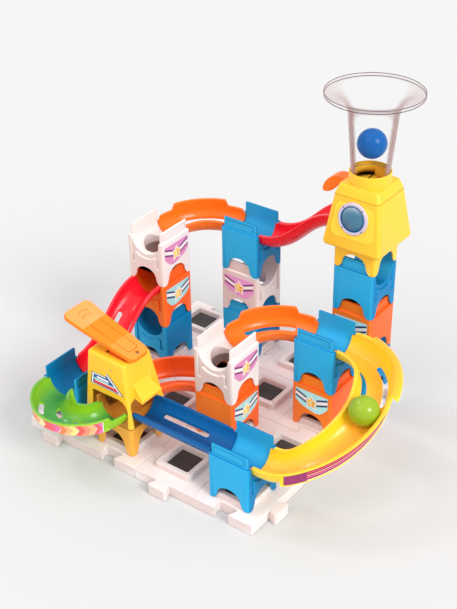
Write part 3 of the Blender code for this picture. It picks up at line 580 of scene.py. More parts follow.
def evaluated_mesh(obj):
    return bpy.data.meshes.new_from_object(obj.evaluated_get(bpy.context.evaluated_depsgraph_get()))


def merged_mesh(obj, distance, angle):
    """The finished mesh of a workpiece, with its faces merged where they lie within an angle in degrees."""
    mesh = evaluated_mesh(obj)
    bm = bmesh.new()
    bm.from_mesh(mesh)
    bmesh.ops.remove_doubles(bm, verts=bm.verts, dist=distance)
    limits = {"angle_limit": math.radians(angle), "use_dissolve_boundaries": False}
    bmesh.ops.dissolve_limit(bm, verts=bm.verts, edges=bm.edges, **limits)
    bm.to_mesh(mesh)
    bm.free()
    mesh.shade_smooth()
    return mesh


def rounded(obj, edge, segments=3):
    """Rounds the sharp edges of an object by a width."""
    bevel = obj.modifiers.new("Bevel", "BEVEL")
    bevel.width = edge
    bevel.segments = segments
    bevel.limit_method = "ANGLE"
    bevel.angle_limit = math.radians(BEVEL_ANGLE)
    return bevel


def moulded(obj, edge=EDGE, segments=2):
    """The finished mesh of a workpiece with its edges rounded."""
    shape = new_object(f"{obj.name}_rounded", merged_mesh(obj, 0.00003, 1.0), WORKSHOP)
    if edge:
        bevel = rounded(shape, edge, segments)
        bevel.use_clamp_overlap = False
        bevel.miter_outer = "MITER_ARC"
        bevel.harden_normals = True
    return evaluated_mesh(shape)


def even_mesh(obj):
    """The finished mesh of a workpiece whose edges are already round, shaded flat across its wide faces."""
    shape = new_object(f"{obj.name}_even", merged_mesh(obj, 0.00001, 0.5), WORKSHOP)
    shape.data.set_sharp_from_angle(angle=math.radians(EVEN_ANGLE))
    weights = shape.modifiers.new("Weighted", "WEIGHTED_NORMAL")
    weights.mode = "FACE_AREA"
    weights.weight = 80
    weights.keep_sharp = True
    return evaluated_mesh(shape)


def smooth_mesh(obj, sharp=40):
    """The finished mesh of a workpiece whose edges are already round."""
    mesh = evaluated_mesh(obj)
    mesh.shade_smooth()
    mesh.set_sharp_from_angle(angle=math.radians(sharp))
    return mesh


def show(name, mesh, finish, slot=None, body=ROOT, replaces=(), place=None):
    """A visible piece of one material, riding on a body."""
    mesh = mesh.copy()
    mesh.name = name
    mesh.materials.clear()
    mesh.materials.append(finish)
    return mount(bpy.data.objects.new(name, mesh), slot, body, replaces, place)


def stand_in(node, mesh, finish, slot, body=ROOT, place=None, ending="moulded"):
    """A visible piece that takes the place of a node of the model."""
    return show(f"{node}_{ending}", mesh, finish, slot, body, (node,), place)


def mount(obj, slot=None, body=ROOT, replaces=(), place=None):
    PIECES.objects.link(obj)
    if place is not None:
        obj.matrix_world = place
    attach(obj, body)
    if replaces:
        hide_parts(*replaces)
    return obj


def empty_workshop():
    for obj in list(WORKSHOP.objects):
        bpy.data.objects.remove(obj, do_unlink=True)


def arc(centre, radius, start, end, steps):
    """Points on an arc from start to end, angles in degrees. A pair of radii makes it an ellipse's."""
    wide, high = radius if isinstance(radius, tuple) else (radius, radius)
    return [(centre[0] + wide * cos(a), centre[1] + high * sin(a)) for a in spaced(start, end, steps)]


def four_corners(centres, radius, steps):
    """An outline round four corners, anticlockwise from the upper right one."""
    corners = [arc(centre, radius, 90 * k, 90 * k + 90, steps) for k, centre in enumerate(centres)]
    return [point for corner in corners for point in corner]


def rounded_box(low_x, high_x, low_y, high_y, radius, steps=CORNER_STEPS):
    left, right, lower, upper = low_x + radius, high_x - radius, low_y + radius, high_y - radius
    return four_corners(((right, upper), (left, upper), (left, lower), (right, lower)), radius, steps)


def rounded_square(half, radius, steps=CORNER_STEPS):
    return rounded_box(-half, half, -half, half, radius, steps)


def box_outline(low_x, high_x, low_y, high_y):
    return [(low_x, low_y), (high_x, low_y), (high_x, high_y), (low_x, high_y)]


def skin(name, rings):
    """A closed solid through rings, each of the same number of points."""
    bm = bmesh.new()
    made = [[bm.verts.new(point) for point in ring] for ring in rings]
    for lower, upper in zip(made, made[1:]):
        for k in range(len(lower)):
            after = (k + 1) % len(lower)
            bm.faces.new((lower[k], lower[after], upper[after], upper[k]))
    bm.faces.new(made[0][::-1])
    bm.faces.new(made[-1])
    return workpiece(name, bm)


def loft(name, sections, along="Z"):
    """A closed solid through sections, each an outline and a distance along an axis.

    Along X the outline lies in Y and Z; along Y it lies in X and Z.
    """
    place = {
        "X": lambda a, b, distance: (distance, a, b),
        "Y": lambda a, b, distance: (a, distance, b),
        "Z": lambda a, b, distance: (a, b, distance),
    }[along]
    return skin(name, [[place(a, b, distance) for a, b in outline] for outline, distance in sections])


def prism(name, outline, low, high, along="Z"):
    return loft(name, [(outline, low), (outline, high)], along)


def cylinder(name, radius, low, high, along="Z", centre=(0, 0), steps=ROUND_STEPS):
    return prism(name, arc(centre, radius, 0, 360 - 360 / steps, steps - 1), low, high, along)


def turned(name, profile, steps=ROUND_STEPS):
    """A solid of revolution about Z, from a closed profile of (radius, height) points."""
    bm = bmesh.new()
    points = [bm.verts.new((radius, 0, height)) for radius, height in profile]
    edges = [bm.edges.new(pair) for pair in zip(points, points[1:] + points[:1])]
    bmesh.ops.spin(
        bm, geom=points + edges, cent=(0, 0, 0), axis=(0, 0, 1), angle=2 * math.pi, steps=steps, use_merge=True
    )
    bmesh.ops.remove_doubles(bm, verts=bm.verts, dist=1e-6)
    return workpiece(name, bm)


def placed(obj, matrix):
    obj.data.transform(matrix)
    return obj


def grid_point(column, row, height=0.0):
    """A place over a socket, at a height above the base's top surface."""
    return Vector((column * PITCH, row * PITCH, BASE_TOP + height))


# Stickers


def stick_on(name, bm, layers, place=None):
    """A visible sticker. A layer starts with its ink, and its faces already carry its number."""
    mesh = new_mesh(name, bm)
    for ink, *_ in layers:
        mesh.materials.append(ink)
    mount(bpy.data.objects.new(name, mesh), place=place)


def sticker(name, layers, place):
    """Flat shapes laid on each other in the XZ plane, seen from -Y. A layer is an ink and its outlines."""
    bm = bmesh.new()
    lift = STICKER_LIFT
    for index, (_, outlines) in enumerate(layers):
        for outline in outlines:
            front = [bm.verts.new((x, -lift, z)) for x, z in outline]
            back = [bm.verts.new((x, 0.0, z)) for x, z in outline]
            faces = [bm.faces.new(front), bm.faces.new(back[::-1])]
            for k in range(len(front)):
                after = (k + 1) % len(front)
                faces.append(bm.faces.new((front[k], back[k], back[after], front[after])))
            for face in faces:
                face.material_index = index
        lift += 0.00007
    bmesh.ops.recalc_face_normals(bm, faces=bm.faces)
    stick_on(name, bm, layers, place)


def star_outline(radius):
    reaches = [radius if k % 2 == 0 else radius * 0.52 for k in range(10)]
    return [(reach * cos(90 + 36 * k), reach * sin(90 + 36 * k)) for k, reach in enumerate(reaches)]


def band(start, end, width):
    """A straight stripe from start to end, with upright ends."""
    (x0, z0), (x1, z1) = start, end
    half = width / 2
    return [(x0, z0 - half), (x1, z1 - half), (x1, z1 + half), (x0, z0 + half)]


def star_plaque(name, paper, stripe, place, lean):
    """A winged shield with a star. Its point leans to one side of the middle."""
    side, top, shoulder, tip = 0.0163, 0.0105, -0.001, -0.0098
    wing, neck = side * 0.72, shoulder - 0.0046
    shield = [(-side, shoulder), (-wing + lean * 0.2, neck), (lean - 0.0052, tip + 0.0012), (lean, tip)]
    shield += [(lean + 0.0052, tip + 0.0012), (wing + lean * 0.2, neck), (side, shoulder)]
    shield += [(side, top - 0.0004), (side - 0.0004, top), (-side + 0.0004, top), (-side, top - 0.0004)]
    stripes, gaps = [], []
    for sign in (-1, 1):
        outer, inner = sign * (side - 0.0003), sign * 0.005
        stripes.append(band((outer, 0.0082), (inner, 0.004), 0.0019))
        stripes.append(band((outer, 0.003), (inner, -0.0012), 0.0019))
        gaps.append(band((outer, 0.0056), (inner, 0.0014), 0.0033))
    facets = [[(0.0, 0.0), *star_outline(0.0058)[k : k + 2]] for k in (6, 8)]
    layers = [
        (paper, [shield]),
        (INK_WHITE, gaps),
        (stripe, stripes),
        (INK_WHITE, [star_outline(0.008)]),
        (INK_YELLOW, [star_outline(0.006)]),
        (INK_CREAM, [star_outline(0.0034)]),
        (INK_GOLD, facets),
    ]
    sticker(name, layers, place)


PLAQUE_HEIGHT = 0.0278


def make_plaques():
    """Star plaques on sides of the white and orange blocks, each turned to where it faces."""
    half = BLOCK / 2 + 0.00002
    lilac, sky = (INK_LILAC, INK_PURPLE), (INK_SKY, INK_NAVY)
    plaques = (
        ("tower_a_block_3", 1, lilac),
        ("tower_a_block_2", 1, sky),
        ("tower_b_block_2", 0, lilac),
        ("tower_c_block_2", 1, lilac),
        ("tower_c_block_1", 1, sky),
        ("tower_d_block_1", 0, sky),
        ("tower_e_block_2", 0, sky),
        ("tower_b_block_2", 2, lilac),
        ("tower_d_block_1", 2, sky),
        ("tower_a_block_3", 3, lilac),
    )
    for node, quarters, inks in plaques:
        middle = foot(node) + Vector((0, 0, PLAQUE_HEIGHT))
        lean = 0.004 if quarters in (0, 3) else -0.004
        place = Matrix.Translation(middle) @ quarter_turn(quarters) @ shift(0, -half, 0)
        star_plaque(f"{node}_plaque_{quarters}", *inks, place, lean)


# Base


def tile_side():
    """One side of a tile along +X from (0, 0): a dovetail tab out to -Y, then a notch cut in to +Y."""
    length = TILE - GAP
    points = [(0.0, 0.0)]
    for middle, sign, slack in ((length / 2 - PITCH / 2, -1, 0.0), (length / 2 + PITCH / 2, 1, GAP)):
        neck, head, reach = TAB_NECK + slack, TAB_HEAD + slack, TAB_REACH + slack
        half = [(neck, 0.0), (head, reach * 0.8), (head - 0.0018, reach)]
        points += [(middle - x, sign * y) for x, y in half]
        points += [(middle + x, sign * y) for x, y in half[::-1]]
    return points


def tile_outline():
    """A square centred on the origin. Each side has a tab at its first socket and a notch at its second."""
    half = (TILE - GAP) / 2
    points = []
    for quarter in range(4):
        turn = Matrix.Rotation(quarter * math.pi / 2, 2)
        points += [tuple(turn @ Vector((x - half, y - half))) for x, y in tile_side()]
    return points


def tile_form():
    """A tile with two scored lines, and four raised sockets that each have a pip and four latch notches."""
    tile = prism("tile_form", tile_outline(), 0, BASE_TOP)
    rounded(tile, 0.0006)
    rim = BASE_TOP + SOCKET_HEIGHT
    sockets = [shift(x * PITCH / 2, y * PITCH / 2, 0) for x in (-1, 1) for y in (-1, 1)]
    wall = [(0, 0.003, BASE_TOP - 0.002), (0, 0.003, rim - 0.0008)]
    wall += [(0.0003, 0.0027, rim - 0.0003), (0.0008, 0.0025, rim)]
    wall_sections = [(rounded_square(SOCKET / 2 - inset, corner), height) for inset, corner, height in wall]
    for socket in sockets:
        join(tile, placed(loft("socket_form", wall_sections), socket))
    line = box_outline(-SCORE, SCORE, BASE_TOP - SCORE, BASE_TOP + 0.001)
    for along in "XY":
        cut(tile, prism("score_line", line, -TILE / 2 + 0.001, TILE / 2 - 0.001, along))
    well_outline, shelf = rounded_square(WELL_HALF, 0.0015), rim - PAD_DEPTH
    well_sections = [(well_outline, shelf - PAD_THICKNESS - GAP), (well_outline, shelf)]
    well_sections.append((rounded_square(SOCKET_MOUTH_HALF, 0.002), rim + 0.0001))
    pip_centre = (SOCKET / 2 - 0.0028, -0.0125)
    latch_outline = box_outline(-0.0006, 0.0006, BASE_TOP + 0.0012, rim - 0.0014)
    for socket in sockets:
        well = loft("socket_well", well_sections)
        pip = cylinder("rim_pip", 0.0009, rim - 0.0012, rim + 0.001, centre=pip_centre, steps=20)
        cut(tile, placed(well, socket), placed(pip, socket))
        for count in range(4):
            latch = prism("latch_notch", latch_outline, -0.019, -0.0174, "Y")
            cut(tile, placed(latch, socket @ quarter_turn(count)))
    return tile


def make_base():
    tile = even_mesh(tile_form())
    pad = moulded(prism("pad_form", rounded_square(WELL_HALF - GAP, 0.0014), 0, PAD_THICKNESS), 0.0004)
    for a in (1, 3):
        for b in (1, 3):
            middle = grid_point(a - 1.5, b - 0.5)
            stand_in(f"base_tile_{a}_{b}", tile, WHITE, "white_plastic", place=shift(middle.x, middle.y, 0))
    for a in (1, 2, 3, 4):
        for b in (1, 2, 3, 4):
            node = f"socket_pad_{a}_{b}"
            stand_in(node, pad, BLACK, "black_rubber", place=Matrix.Translation(foot(node)))


# Blocks


def arch_outline(height, half=0.0115, shoulder=0.006):
    """A bell-shaped arch: a half ellipse on top of legs that flare to a wider foot."""
    crown = arc((0, shoulder), (half, height - shoulder), 0, 180, 30)
    flare = [(half + 0.0044, -0.001), (half + 0.003, 0.0004), (half + 0.0018, 0.0018), (half + 0.0007, 0.0038)]
    return flare + crown + [(-x, z) for x, z in flare[::-1]]


def legs(name, top):
    """The solid that a block's walls and legs are cut from."""
    return prism(name, rounded_square(BLOCK / 2, 0.0025), 0, top)


def hollow(arch_height):
    """Cutters for the room inside the walls and for an arch through each pair of them."""
    inside = prism("inside", rounded_square(BLOCK / 2 - SKIRT_WALL, 0.0016), -0.001, CEILING)
    return [inside, *(prism("arch", arch_outline(arch_height), -BLOCK, BLOCK, along) for along in "XY")]


def channel(top, low=-BLOCK, high=BLOCK, along="Y"):
    """A cutter for a marble channel of U section, open at the top."""
    outline = arc((0, CHANNEL_CENTRE), CHANNEL_RADIUS, 180, 360, 28)
    return prism("channel", outline + [(CHANNEL_RADIUS, top), (-CHANNEL_RADIUS, top)], low, high, along)


def bowl(name, radius, top):
    """A cutter with a half-round floor, level with a channel's."""
    side = arc((0, CHANNEL_CENTRE), radius, -80, 0, 8)
    return turned(name, [(0, top), (0, CHANNEL_CENTRE - radius), *side, (radius, top)])


def block_form(name, *channels):
    """A hollow square block on four legs, with a framed panel on each long side of its top band."""
    body = legs(name, LEVEL - GAP)
    shelf = BLOCK / 2 - BAND_INSET
    join(body, prism("band", rounded_square(shelf, 0.0018), LEVEL - 0.004, BLOCK_TOP))
    outline = rounded_box(-0.015, 0.015, LEVEL + 0.0016, BLOCK_TOP - 0.0018, 0.0006, 2)
    spans = ((-BLOCK, -shelf + 0.0003), (shelf - 0.0003, BLOCK))
    panels = [prism("band_panel", outline, near, far, "X") for near, far in spans]
    return cut(body, *hollow(ARCH_HEIGHT), *panels, *channels)


def end_recess(sign):
    """The seat for a track's clip: a sunk frame round the channel, over a panel with a wavy top edge."""
    near, far = sorted((sign * (BLOCK / 2 - END_RECESS), sign * BLOCK))
    wave = [(-0.0122, 0.0262), (-0.0108, 0.027), (-0.009, 0.0266), (-0.0074, 0.025), (-0.005, 0.0243)]
    ledge = [*wave, (0, 0.0238), *((-x, z) for x, z in wave[::-1])]
    low, top = 0.0165, BLOCK_TOP + 0.002
    outline = [(-END_RECESS_HALF, low), (-0.0122, low), *ledge, (0.0122, low), (END_RECESS_HALF, low)]
    outline += [(END_RECESS_HALF, top), (-END_RECESS_HALF, top)]
    return prism("end_recess", outline, near, far, "Y")


def make_blocks():
    """The towers. Each entry is a block's node, form, finish and quarter turns."""
    top = BLOCK_TOP + 0.003
    hole = cylinder("drop_hole", DROP_RADIUS, CEILING - 0.003, CHANNEL_CENTRE)
    dish = bowl("bowl", CHANNEL_RADIUS - 0.0008, BLOCK_TOP + 0.002)
    through = moulded(block_form("through_form", channel(top), end_recess(-1), end_recess(1)))
    drop = moulded(block_form("drop_form", channel(top), hole, end_recess(-1), end_recess(1)))
    catch = moulded(block_form("catch_form", channel(top, high=0.0), dish, end_recess(-1)))
    blue, orange, white = (BLUE, "blue_plastic"), (ORANGE, "orange_plastic"), (WHITE, "white_plastic")
    blocks = (
        ("tower_a_block_1", through, blue, 0),
        ("tower_a_block_2", catch, orange, 0),
        ("tower_a_block_3", drop, white, 0),
        ("tower_b_block_1", through, blue, 1),
        ("tower_b_block_2", drop, white, 1),
        ("tower_b_block_3", through, blue, 1),
        ("tower_c_block_1", catch, orange, -1),
        ("tower_c_block_2", drop, white, 0),
        ("tower_d_block_1", catch, orange, 2),
        ("tower_d_block_2", through, blue, 1),
        ("tower_e_block_1", through, blue, 1),
        ("tower_e_block_2", catch, orange, 2),
        ("tower_e_block_3", through, blue, 1),
        ("end_block_left", through, blue, 0),
        ("end_block_front", through, blue, 1),
    )
    for node, form, finish, quarters in blocks:
        stand_in(node, form, *finish, place=Matrix.Translation(foot(node)) @ quarter_turn(quarters))


# Tracks


def soft_ramp(fraction, ease):
    """From 0 to 1 at an even slope, with both ends levelled out over the fraction ease."""
    if fraction < ease:
        return fraction**2 / (2 * ease * (1 - ease))
    if fraction > 1 - ease:
        return 1 - (1 - fraction) ** 2 / (2 * ease * (1 - ease))
    return (fraction - ease / 2) / (1 - ease)


def bend(centre, radii, start, sweep, low, high, climb=(0.0, 1.0)):
    """An elliptic bend. Returns its length and a function from distance to place and outward side."""
    across, along = radii
    length = (across + along) / 2 * abs(math.radians(sweep))
    sign = math.copysign(1, sweep)

    def at(distance):
        run = min(max(distance, 0.0), length)
        angle = start + sweep * run / length
        heading = sign * Vector((-across * sin(angle), along * cos(angle), 0)).normalized()
        outward = sign * Vector((heading.y, -heading.x, 0))
        place = grid_point(*centre) + Vector((across * cos(angle), along * sin(angle), 0))
        place += (distance - run) * heading
        share = between(run / length, *climb)
        place.z = BASE_TOP + CHANNEL_CENTRE + GAP + low + (high - low) * soft_ramp(share, 0.15)
        return place, outward

    return length, at


def straight(start, end, low, high):
    """A straight track from one block's face to another's, with its outward side on its left."""
    first, last = grid_point(*start), grid_point(*end)
    length = (last - first).length
    heading = (last - first) / length
    outward = Vector((-heading.y, heading.x, 0))

    def at(distance):
        run = min(max(distance, 0.0), length)
        place = first + heading * distance
        place.z = BASE_TOP + CHANNEL_CENTRE + GAP + low + (high - low) * soft_ramp(run / length, 0.45)
        return place, outward

    return length, at


def flat(value):
    """The same value at every fraction."""
    return lambda _: value


def eased(low, high, share):
    return low + (high - low) * share * share * (3 - 2 * share)


def stepped_guard(low, high, first, last, ramp=0.03):
    """A guard wall of two heights: low at the ends and high between the fractions first and last."""

    def height(fraction):
        rise = between(fraction, first - ramp / 2, first + ramp / 2)
        fall = between(fraction, last + ramp / 2, last - ramp / 2)
        return eased(low, high, min(rise, fall))

    return height


def guard_through(stations):
    """A guard wall whose height eases from each (fraction, height) station to the next."""

    def height(fraction):
        for (first, low), (second, high) in zip(stations, stations[1:]):
            if fraction <= second:
                return eased(low, high, (fraction - first) / (second - first))
        return stations[-1][1]

    return height


def track_section(outer_guard, inner_guard, lip, grooves=False, skirt=0.0, tucked=False):
    """A closed outline of (side, up) points: a half-round trough with lipped walls.

    It can have two grooves in its floor, and an upright skirt down from its outward rim.
    """

    def under(radius, angle):
        return radius * sin(angle), -radius * cos(angle)

    top = TUCK_ANGLE if tucked else 90.0
    points = []
    for angle in spaced(-top, top, 44):
        depth = GROOVE_DEPTH * max(0.0, 1.0 - abs(abs(angle) - 27.0) / 5.0) if grooves else 0.0
        points.append(under(TRACK_INNER + depth, angle))
    side, low = under(TRACK_OUTER, top)

    def crest(guard):
        """The rim's outline from the inside over to the outside."""
        high = max(low, guard)
        over = high if tucked else high + 0.0003
        inside = [(side - WALL, high), (side - WALL + 0.0004, over), (side + lip - 0.0003, over)]
        return inside + [(side + lip, high - 0.0004), (side + lip * 0.8, high - 0.0012), (side, high - 0.0015)]

    points += crest(outer_guard)
    if skirt:
        inner, seam = under(TRACK_OUTER, SKIRT_TURN)
        points += [(TRACK_OUTER, -skirt), (inner, -skirt), (inner, seam)]
    else:
        steepest = top - math.degrees(0.02)
        points += [under(TRACK_OUTER, min(turn, steepest)) for turn in (86.0, 78.0, SKIRT_TURN)]
    angles = spaced(SKIRT_TURN, 0, 20)[1:] + spaced(0, -top, 20)[1:-1]
    points += [under(TRACK_OUTER, angle) for angle in angles]
    return points + [(-a, up) for a, up in crest(inner_guard)[::-1]]


def section_at(spot, section):
    """A track's section of (side, up) points, put at a place along its route."""
    place, outward = spot
    return [place + side * outward + Vector((0, 0, up)) for side, up in section]


def trough(name, route, steps, guard=flat(0.0), inner=flat(0.0), lip=0.0012, grooves=False, skirt=flat(0.0)):
    """A lipped half-round trough swept along a route. Its two ends are lower, to tuck into the blocks."""
    length, at = route
    stations = [(-TRACK_TUCK, True), (-GAP, True)]
    stations += [(distance, False) for distance in spaced(GAP, length - GAP, steps)]
    stations += [(length + GAP, True), (length + TRACK_TUCK, True)]
    rings = []
    for distance, tucked in stations:
        if tucked:
            section = track_section(-1.0, -1.0, 0.0, grooves, tucked=True)
        else:
            fraction = distance / length
            reach = max(lip * min(1.0, distance / 0.002, (length - distance) / 0.002), 0.0001)
            section = track_section(guard(fraction), inner(fraction), reach, grooves, skirt(fraction))
        rings.append(section_at(at(distance), section))
    return skin(name, rings)


def flange(route, start, end, steps):
    """A wide lip curled outward and down from the rim, between two fractions of a route."""
    length, at = route
    inner, reach, rise = TRACK_INNER + 0.0004, FLANGE_REACH, FLANGE_RISE
    section = [(inner, -0.0012), *arc((inner + 0.0016, rise - 0.0014), 0.0014, 180, 90, 6)]
    section += [(reach - 0.0044, rise), (reach - 0.0028, rise - 0.0004), (reach - 0.0014, rise - 0.0012)]
    section += [(reach - 0.0005, rise - 0.0022), (reach, 0.0), (reach - 0.0012, -0.001)]
    section += [(reach - 0.003, 0.0009), (reach - 0.0052, rise - WALL)]
    section += [(TRACK_OUTER - 0.0002, rise - WALL), (TRACK_OUTER - 0.0002, -0.0012)]
    fractions = spaced(start, end, steps)
    return skin("flange_form", [section_at(at(length * fraction), section) for fraction in fractions])


def slot(route, side, start, end):
    """A cutter for a long round-ended slot through a trough's floor, between two fractions of its route."""
    length, at = route
    half = SLOT_HALF
    places = [at(length * fraction) for fraction in spaced(start, end, 12)]
    edge_in = [place + (side - half) * outward for place, outward in places]
    edge_out = [place + (side + half) * outward for place, outward in places]

    def cap(first, last, beyond):
        """Points of a half circle from first to last, bulging away from beyond."""
        middle = (first + last) / 2
        across = (last - first) / 2
        ahead = (middle - beyond).normalized() * half
        return [middle - across * cos(a) + ahead * sin(a) for a in spaced(0, 180, 8)[1:-1]]

    outline = edge_out + cap(edge_out[-1], edge_in[-1], (edge_in[-2] + edge_out[-2]) / 2)
    outline += edge_in[::-1] + cap(edge_in[0], edge_out[0], (edge_in[1] + edge_out[1]) / 2)
    low = min(place.z for place, _ in places) - 1.2 * CHANNEL_RADIUS
    high = max(place.z for place, _ in places) - 0.003
    return prism("track_slot", [(point.x, point.y) for point in outline], low, high)


def slots(route, start, end):
    """A pair of slots on either side of a trough's middle."""
    return [slot(route, side, start, end) for side in (SLOT_OFFSET, -SLOT_OFFSET)]


def ribbon(name, route, patches, steps, rows):
    """Stickers on a track's upright outer face. Later patches lie on earlier ones.

    A patch is an ink, functions of the share up its height for its first and last fraction, and functions of
    the fraction for its low and high edge.
    """
    length, at = route
    bm = bmesh.new()
    for index, (_, first, last, low, high) in enumerate(patches):
        lift = STICKER_LIFT + 0.00004 * index
        grid = []
        for j in range(rows + 1):
            share = j / rows
            line = []
            for fraction in spaced(first(share), last(share), steps):
                height = low(fraction) + (high(fraction) - low(fraction)) * share
                line += section_at(at(length * fraction), [(TRACK_OUTER + lift, height)])
            grid.append([bm.verts.new(point) for point in line])
        for lower, upper in zip(grid, grid[1:]):
            for k in range(steps):
                face = bm.faces.new((lower[k], lower[k + 1], upper[k + 1], upper[k]))
                face.material_index, face.smooth = index, True
    (place, outward), (ahead, _) = at(0.0), at(length * 0.01)
    if (ahead - place).cross(Vector((0, 0, 1))).dot(outward) < 0:
        bmesh.ops.reverse_faces(bm, faces=bm.faces)
    stick_on(name, bm, patches)


def make_quarter_curves():
    guard = stepped_guard(0.0008, 0.0068, 0.2, 0.8)
    bends = (
        ("upper_curve", (-1 / 3, 7 / 3), 2, TRACK_ORANGE, "orange_plastic"),
        ("middle_curve", (5 / 3, 4 / 3), 1, TRACK_ORANGE, "orange_plastic"),
        ("lower_curve", (2 / 3, 1 / 3), 0, RED_ORANGE, "red_orange_plastic"),
    )
    for name, centre, level, finish, slot_name in bends:
        route = bend(centre, (0.04, 0.04), 90, 90, level * LEVEL, level * LEVEL)
        track = trough(f"{name}_form", route, 60, guard, lip=0.0008)
        place, outward = route[1](route[0] * 0.36)
        upright = outward.to_track_quat("Z", "Y").to_matrix().to_4x4()
        across = Matrix.Translation(place - TRACK_OUTER * outward) @ upright
        peg_hole = placed(cylinder("peg_hole", 0.0008, -0.004, 0.0035, steps=16), shift(0, 0, -0.0024) @ across)
        cut(track, *slots(route, 0.22, 0.78), peg_hole)
        stand_in(name, smooth_mesh(track), finish, slot_name)


def make_long_curve():
    route = bend((7 / 3, 1), (0.0525, 0.06), -90, 180, 0, LEVEL, climb=(0.05, 0.72))

    def skirt(fraction):
        if not 0.105 < fraction < 0.95:
            return 0.0
        return 0.0112 - 0.0042 * between(fraction, 0.3, 0.6)

    guard = stepped_guard(0.001, 0.002, 0.55, 0.97, 0.04)
    track = trough("long_curve_form", route, 120, guard, lip=0.0014, grooves=True, skirt=skirt)
    join(track, flange(route, 0.585, 0.92, 40))
    cut(track, *slots(route, 0.6, 0.82))
    stand_in("long_curve", smooth_mesh(track), TRACK_YELLOW, "yellow_plastic")

    def edge(share):
        """A height on the sticker, from its top edge at 0 to its bottom edge at 1. The sticker narrows."""

        def height(fraction):
            along = (fraction - 0.12) / 0.44
            return -0.0008 - 0.0092 * share * (1 - 0.72 * along**3)

        return height

    lines = ((INK_CORAL, 0.16, 0.26), (INK_PEACH, 0.42, 0.52), (INK_PINK, 0.62, 0.72), (INK_CREAM, 0.9, 1.0))
    patches = [(INK_PLUM, flat(0.12), flat(0.56), edge(1.0), edge(0.0))]
    patches += [(ink, flat(0.2), flat(0.5), edge(low), edge(high)) for ink, high, low in lines]
    ribbon("long_curve_sticker", route, patches, 90, 1)


def make_green_curve():
    route = bend((-0.5, -1 / 3), (0.03, 0.03), 180, 180, 0, 0)

    def fin(fraction):
        """The inner wall, with a fin at the middle of the bend."""
        if 0.42 < fraction <= 0.5:
            return 0.012 * ((fraction - 0.42) / 0.08) ** 0.8
        if 0.5 < fraction < 0.6:
            return 0.0012 + 0.0108 * ((0.6 - fraction) / 0.1) ** 2.0
        return 0.0012 * max(0.0, (1.0 - fraction) / 0.4) if fraction >= 0.6 else 0.0

    guard = guard_through(GREEN_GUARD)

    def skirt(fraction):
        return 0.0074 if 0.04 < fraction < 0.88 else 0.0

    track = trough("green_curve_form", route, 120, guard, fin, lip=0.0006, skirt=skirt)
    cut(track, *[slot(route, *where) for where in GREEN_SLOTS])
    stand_in("green_curve", smooth_mesh(track), GREEN, "green_plastic")

    def high(fraction):
        return guard(fraction) - 0.0009

    def slanted(fraction):
        """A chevron's edge at a fraction, pointing on along the track at half height."""
        return lambda share: fraction + 0.026 * (1 - abs(2 * share - 1)) - 0.013

    fields = (
        (0.345, 0.468, (INK_ORANGE, INK_PEACH, INK_CREAM)),
        (0.474, 0.58, (INK_CORAL, INK_ROSE, INK_PINK)),
        (0.586, 0.686, (INK_ORANGE, INK_PEACH, INK_STRAW)),
        (0.692, 0.788, (INK_CORAL, INK_SALMON, INK_PEACH)),
        (0.794, 0.834, (INK_CORAL, INK_PINK)),
    )
    patches = [(INK_WHITE, flat(0.34), flat(0.84))]
    for start, stop, inks in fields:
        end = flat(stop) if stop == fields[-1][1] else slanted(stop)
        for ink, begin in zip(inks, spaced(start, stop, len(inks))):
            patches.append((ink, flat(begin) if begin == fields[0][0] else slanted(begin), end))
    ribbon("green_curve_sticker", route, [(*patch, flat(-0.007), high) for patch in patches], 16, 8)


def make_straight_tracks():
    half = BLOCK / 2 / PITCH
    blue, red = (DEEP_BLUE, "deep_blue_plastic"), (RED, "red_plastic")
    tracks = (
        ("launch_track", (half, 0), (2 - half, 0), (0, 0), 8, 0.0014, (0.18, 0.72), blue),
        ("upper_slide", (2 - half, 3), (half, 3), (3 * LEVEL, 2 * LEVEL), 48, 0.0012, None, red),
        ("lower_slide", (-1, 2 - half), (-1, half), (LEVEL, 0), 48, 0.0012, (0.36, 0.64), red),
    )
    for name, start, end, heights, steps, lip, slotted, finish in tracks:
        route = straight(start, end, *heights)
        track = trough(f"{name}_form", route, steps, lip=lip, grooves=steps > 8)
        if slotted:
            cut(track, *slots(route, *slotted))
        stand_in(name, smooth_mesh(track), *finish)


# Funnel house


def house_face():
    """The frame of the house's sloping front, centred on the porthole: X across, Y up the slope, Z outward."""
    slope = math.atan2(FLARE_LOW_HALF - CREASE_HALF, CREASE - FLARE_LOW)
    face = FLARE_LOW_HALF - (PORTHOLE_Z - FLARE_LOW) * math.tan(slope)
    return Matrix.Translation((0, -face, PORTHOLE_Z)) @ Matrix.Rotation(math.pi / 2 - slope, 4, "X")


